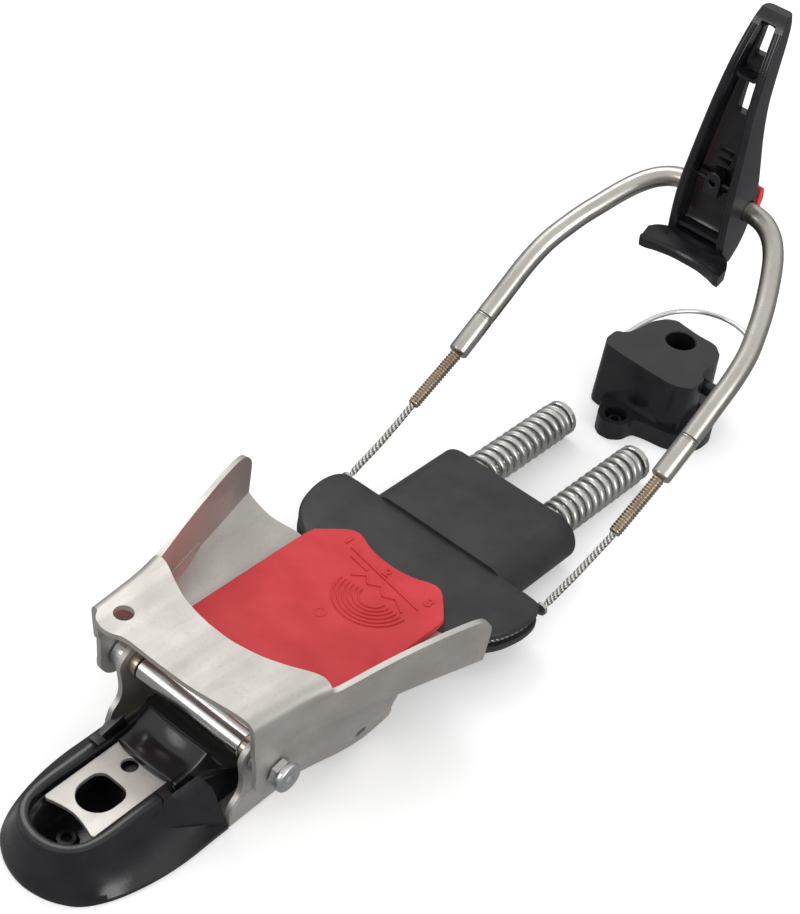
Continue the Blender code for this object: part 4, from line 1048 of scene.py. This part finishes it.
# height, half width, front edge, back edge
LEVER = [(79, 12.8, 265.0, 271.5), (84, 12.7, 262.8, 276.0), (90, 12.5, 262.0, 279.2),
         (98, 12.3, 261.6, 281.0), (107, 12.0, 262.0, 281.3), (118, 11.2, 263.4, 279.8),
         (130, 10.2, 265.0, 278.2), (143, 9.0, 267.0, 278.3), (155, 8.0, 270.2, 280.9),
         (164, 7.2, 273.8, 283.4), (171.5, 6.4, 277.6, 285.0), (175.8, 5.6, 280.4, 285.0)]
FOOT_PLAN = [(0, 257.6, 268), (6, 257.2, 266.6), (12, 255.4, 264.2), (16, 253.4, 261.0), (18.2, 252.8, 257.6)]
LEVER_WALL = 2.9
CHANNEL_DEEP = 8.2       # deepest the channel goes behind the front edges
CHANNEL_LEVELS = [85.5, 87.5, 90, 94, 98, 102, 107, 112, 118, 124, 130, 136, 143, 149, 155, 159, 163, 167,
                  170, 172]


def lever_rows():
    """LEVER's rows with smooth ones between them."""
    fronts = curve_through([(z, w, y0) for z, w, y0, _ in LEVER], 5)
    backs = curve_through([(z, w, y1) for z, w, _, y1 in LEVER], 5)
    return [(p.x, p.y, p.z, q.z) for p, q in zip(fronts, backs)]


LEVER_ROWS = lever_rows()


def lever_at(z):
    """Height, half width, front and back edge of the lever at height z."""
    for p, q in zip(LEVER_ROWS, LEVER_ROWS[1:]):
        if z <= q[0]:
            k = (z - p[0]) / (q[0] - p[0])
            return [p[i] + (q[i] - p[i]) * k for i in range(4)]
    return list(LEVER_ROWS[-1])


def slab(z, w, y0, y1):
    """Section with a rounded back and plain front edges."""
    r = min(2.6, w * 0.45)
    back = []
    for k in range(7):
        a = math.radians(15 * k)
        back.append((w - r + r * math.cos(a), y1 - r + r * math.sin(a), z))
    return [(-w, y0, z), (w, y0, z)] + back + [(-x, y, zz) for x, y, zz in reversed(back)]


def heel_lever():
    """Open channel with two slots, a beaded front edge, cross ribs and a curved heel saddle."""
    ob = finish("heel_lever_moulding", loft([slab(*r) for r in LEVER_ROWS]), (), None)
    rings = []
    for z in CHANNEL_LEVELS:
        _, w, y0, y1 = lever_at(z)
        y1 = min(y1, y0 + CHANNEL_DEEP + LEVER_WALL)
        lift = 4.5 * max(0, (92 - z) / 6.5) ** 1.4 + 2.6 * max(0, (z - 167) / 5)
        rings.append([(-w + LEVER_WALL, y0 - 12, z), (w - LEVER_WALL, y0 - 12, z),
                      (w - LEVER_WALL - 0.5, y1 - LEVER_WALL - 0.6 - lift, z),
                      (w - LEVER_WALL - 1.6, y1 - LEVER_WALL - 0.2 - lift, z),
                      (-w + LEVER_WALL + 1.6, y1 - LEVER_WALL - 0.2 - lift, z),
                      (-w + LEVER_WALL + 0.5, y1 - LEVER_WALL - 0.6 - lift, z)])
    combine(ob, loft(rings))
    for half, y, z, h in ((3.0, 281.5, 164.5, 11.5), (2.1, 277.5, 143, 13)):
        combine(ob, prism([arch(half, z - h / 2, z + h / 2 - half)], "Y", y - 8, y + 8))
    # bead along the channel's front edges
    for s in (-1, 1):
        path = []
        for z in range(92, 172, 3):
            _, w, y0, _ = lever_at(z)
            path.append((s * (w - LEVER_WALL / 2 - 0.1), y0 + 0.35, z))
        combine(ob, sweep(curve_through(path, 2), 1.45, 14), "UNION")
    # cross ribs: a cup under the upper slot, and one over the tube
    _, w, y0, y1 = lever_at(153)
    cup = [(-w + 1.4, 157.5), (-w + 1.9, 154.6), (-w + 3.0, 152.4), (-w + 4.8, 151.4), (w - 4.8, 151.4),
           (w - 3.0, 152.4), (w - 1.9, 154.6), (w - 1.4, 157.5)]
    lip = [(x * 0.78, z + 1.3) for x, z in reversed(cup)]
    combine(ob, prism([cup + lip], "Y", y0 + 1.4, y1 - 1.5), "UNION")
    _, w, y0, y1 = lever_at(88)
    combine(ob, box((-w + 1.2, y0 + 1.6, 87.2), (w - 1.2, y1 - 1.8, 88.8)), "UNION")
    for z in (113.5, 117.0, 120.5):
        _, w, y0, y1 = lever_at(z)
        back = y0 + CHANNEL_DEEP
        combine(ob, box((-2.4, back - 2.6, z - 0.6), (2.4, back + 0.6, z + 0.6)), "UNION")
    rings = []
    for x, y_front, y_back in curve_through([(-x, a, b) for x, a, b in FOOT_PLAN[:0:-1]] + FOOT_PLAN, 4):
        sag = 0.011 * x * x
        z0, z1 = 76.0 + (y_front - 258) * 0.3, 76.0 + (y_back - 258) * 0.3
        rings.append([(x, y_front + 0.5, z0 + sag * 0.75), (x, y_back, z1 + sag * 0.75),
                      (x, y_back, z1 + 4.6 + sag), (x, y_front + 1.2, z0 + 3.9 + sag),
                      (x, y_front + 0.3, z0 + 4.3 + sag), (x, y_front - 0.3, z0 + 3.4 + sag),
                      (x, y_front, z0 + 1.2 + sag * 0.8)])
    combine(ob, loft(rings), "UNION")
    combine(ob, rod(LOOP_TUBE_R + 0.35, -20, 20, "X", (0, LEVER_Y, LEVER_Z)))
    stand_for(ob, "heel_lever", "lever", 34, 0.4, 2, 45)


def lever_boss():
    bm = prism([arch(3.6, 104.4, 110.6), circle(0, 109.6, 1.4, 28)], "Y", 264.6, 269.2)
    finish("lever_boss_moulding", bm, ("lever_boss",), "lever", smooth=35, bevel=0.45, segments=3, angle=50)


def lever_clip():
    outline = rounded([(281.7, 95.6), (284.4, 96.6), (285.6, 100.6), (284.4, 105.4), (281.7, 106.2)], 0.25)
    bm = prism([outline], "X", 5.5, 12.2)
    finish("lever_clip_moulding", bm, ("lever_clip",), "lever", smooth=35, bevel=0.35, segments=3, angle=50)


# --- heel block and climbing wire
RISER_TOP = 28.0
TOPLINE = [(-23.6, 254), (-20.5, 250.6), (9.6, 249.2), (14.2, 250.2), (18.6, 253), (19.4, 257), (19.2, 262),
           (15.6, 265), (16.2, 270), (16.2, 275), (14.6, 280), (9.4, 284.6), (1, 284.4), (-5.6, 285.2),
           (-10.4, 286), (-14.4, 283.4), (-17.4, 277.4), (-18.6, 268), (-20, 263.4), (-23.8, 261)]
LUG = [(-15, 252), (-14.6, 244), (-12, 240), (-10.4, 236), (-6.5, 233.2), (-1.6, 233.6), (2, 237),
       (3.2, 243), (8, 244.5), (18, 246), (25.5, 252), (27.4, 257), (27.2, 264), (24, 270), (17, 272),
       (10, 270), (-10, 262)]
WELL = (-2.0, 276.0)
LUG_BORE = (-4.2, 240.2)


def rounded(points, amount=0.3, per=4):
    """Corner-rounded closed outline: each corner is replaced with a short curve."""
    out = []
    n = len(points)
    for i in range(n):
        a, b, c = (Vector(points[(i + k - 1) % n]) for k in range(3))
        p, q = b + (a - b) * amount, b + (c - b) * amount
        for k in range(per + 1):
            t = k / per
            out.append(tuple((p * (1 - t) + b * t) * (1 - t) + (b * (1 - t) + q * t) * t))
    return out


def heel_block():
    """Riser with a counterbored well, and a foot lug at its front."""
    top = rounded(TOPLINE)
    rows = [(0.0, 0.0), (1.2, 0.02), (RISER_TOP * 0.5, 0.5), (RISER_TOP, 1.0)]
    rings = []
    for z, k in rows:
        ring = []
        for x, y in top:
            spread = -2.5 if y < 262 else 1.5
            ring.append((x, y + spread * (1 - k) * min(1, abs(y - 262) / 6), z))
        rings.append(ring)
    ob = finish("heel_block_moulding", loft(rings), (), None)
    combine(ob, prism([rounded(LUG)], "Z", 0, 8.0), "UNION")
    combine(ob, turn([(0, -2), (2.9, -2), (2.9, 6), (6.0, 6), (6.0, RISER_TOP - 0.5), (6.5, RISER_TOP),
                      (6.5, RISER_TOP + 6), (0, RISER_TOP + 6)], "Z", (*WELL, 0), 64))
    combine(ob, turn([(0, -2), (2.7, -2), (2.7, 2.5), (4.6, 2.5), (4.6, 20), (3.2, 26), (0, 26)], "Z",
                     (*LUG_BORE, 0), 48))
    stand_for(ob, "heel_block", "base", 34, 0.8, 4, 50)


def climbing_wire():
    y0, z = 268.0, 20.0
    half = [(20.7, y0), (23.9, y0), (24.7, y0 + 0.8), (24.6, 276), (24.2, 284), (22.6, 293), (19.4, 300.6),
            (14, 307.2), (7.4, 311), (0, 312.4)]
    path = [(x, y, z) for x, y in half] + [(-x, y, z) for x, y in half[-2::-1]]
    finish("climbing_wire_bent", sweep(curve_through(path, 4), 1.0, 18), ("climbing_wire",), "climbing_wire",
           smooth=60)


# --- build
camera()
studio()
for name, ob in frame["nodes"].items():
    ob.data.materials.clear()
    ob.data.materials.append(BLACKENED if name in BLACK_SCREWS else MATERIALS[SLOTS[name]])
toe_housing()
mode_slide()
pivot_frame()
axle_bolt()
axle_tube()
toe_plate()
toe_pad()
guide_block()
spring_box()
for tag, s in (("left", -1), ("right", 1)):
    spring(tag, s)
    loop_side(tag, s)
    cable_wrap(tag, s)
heel_tube()
heel_lever()
lever_boss()
lever_clip()
heel_block()
climbing_wire()
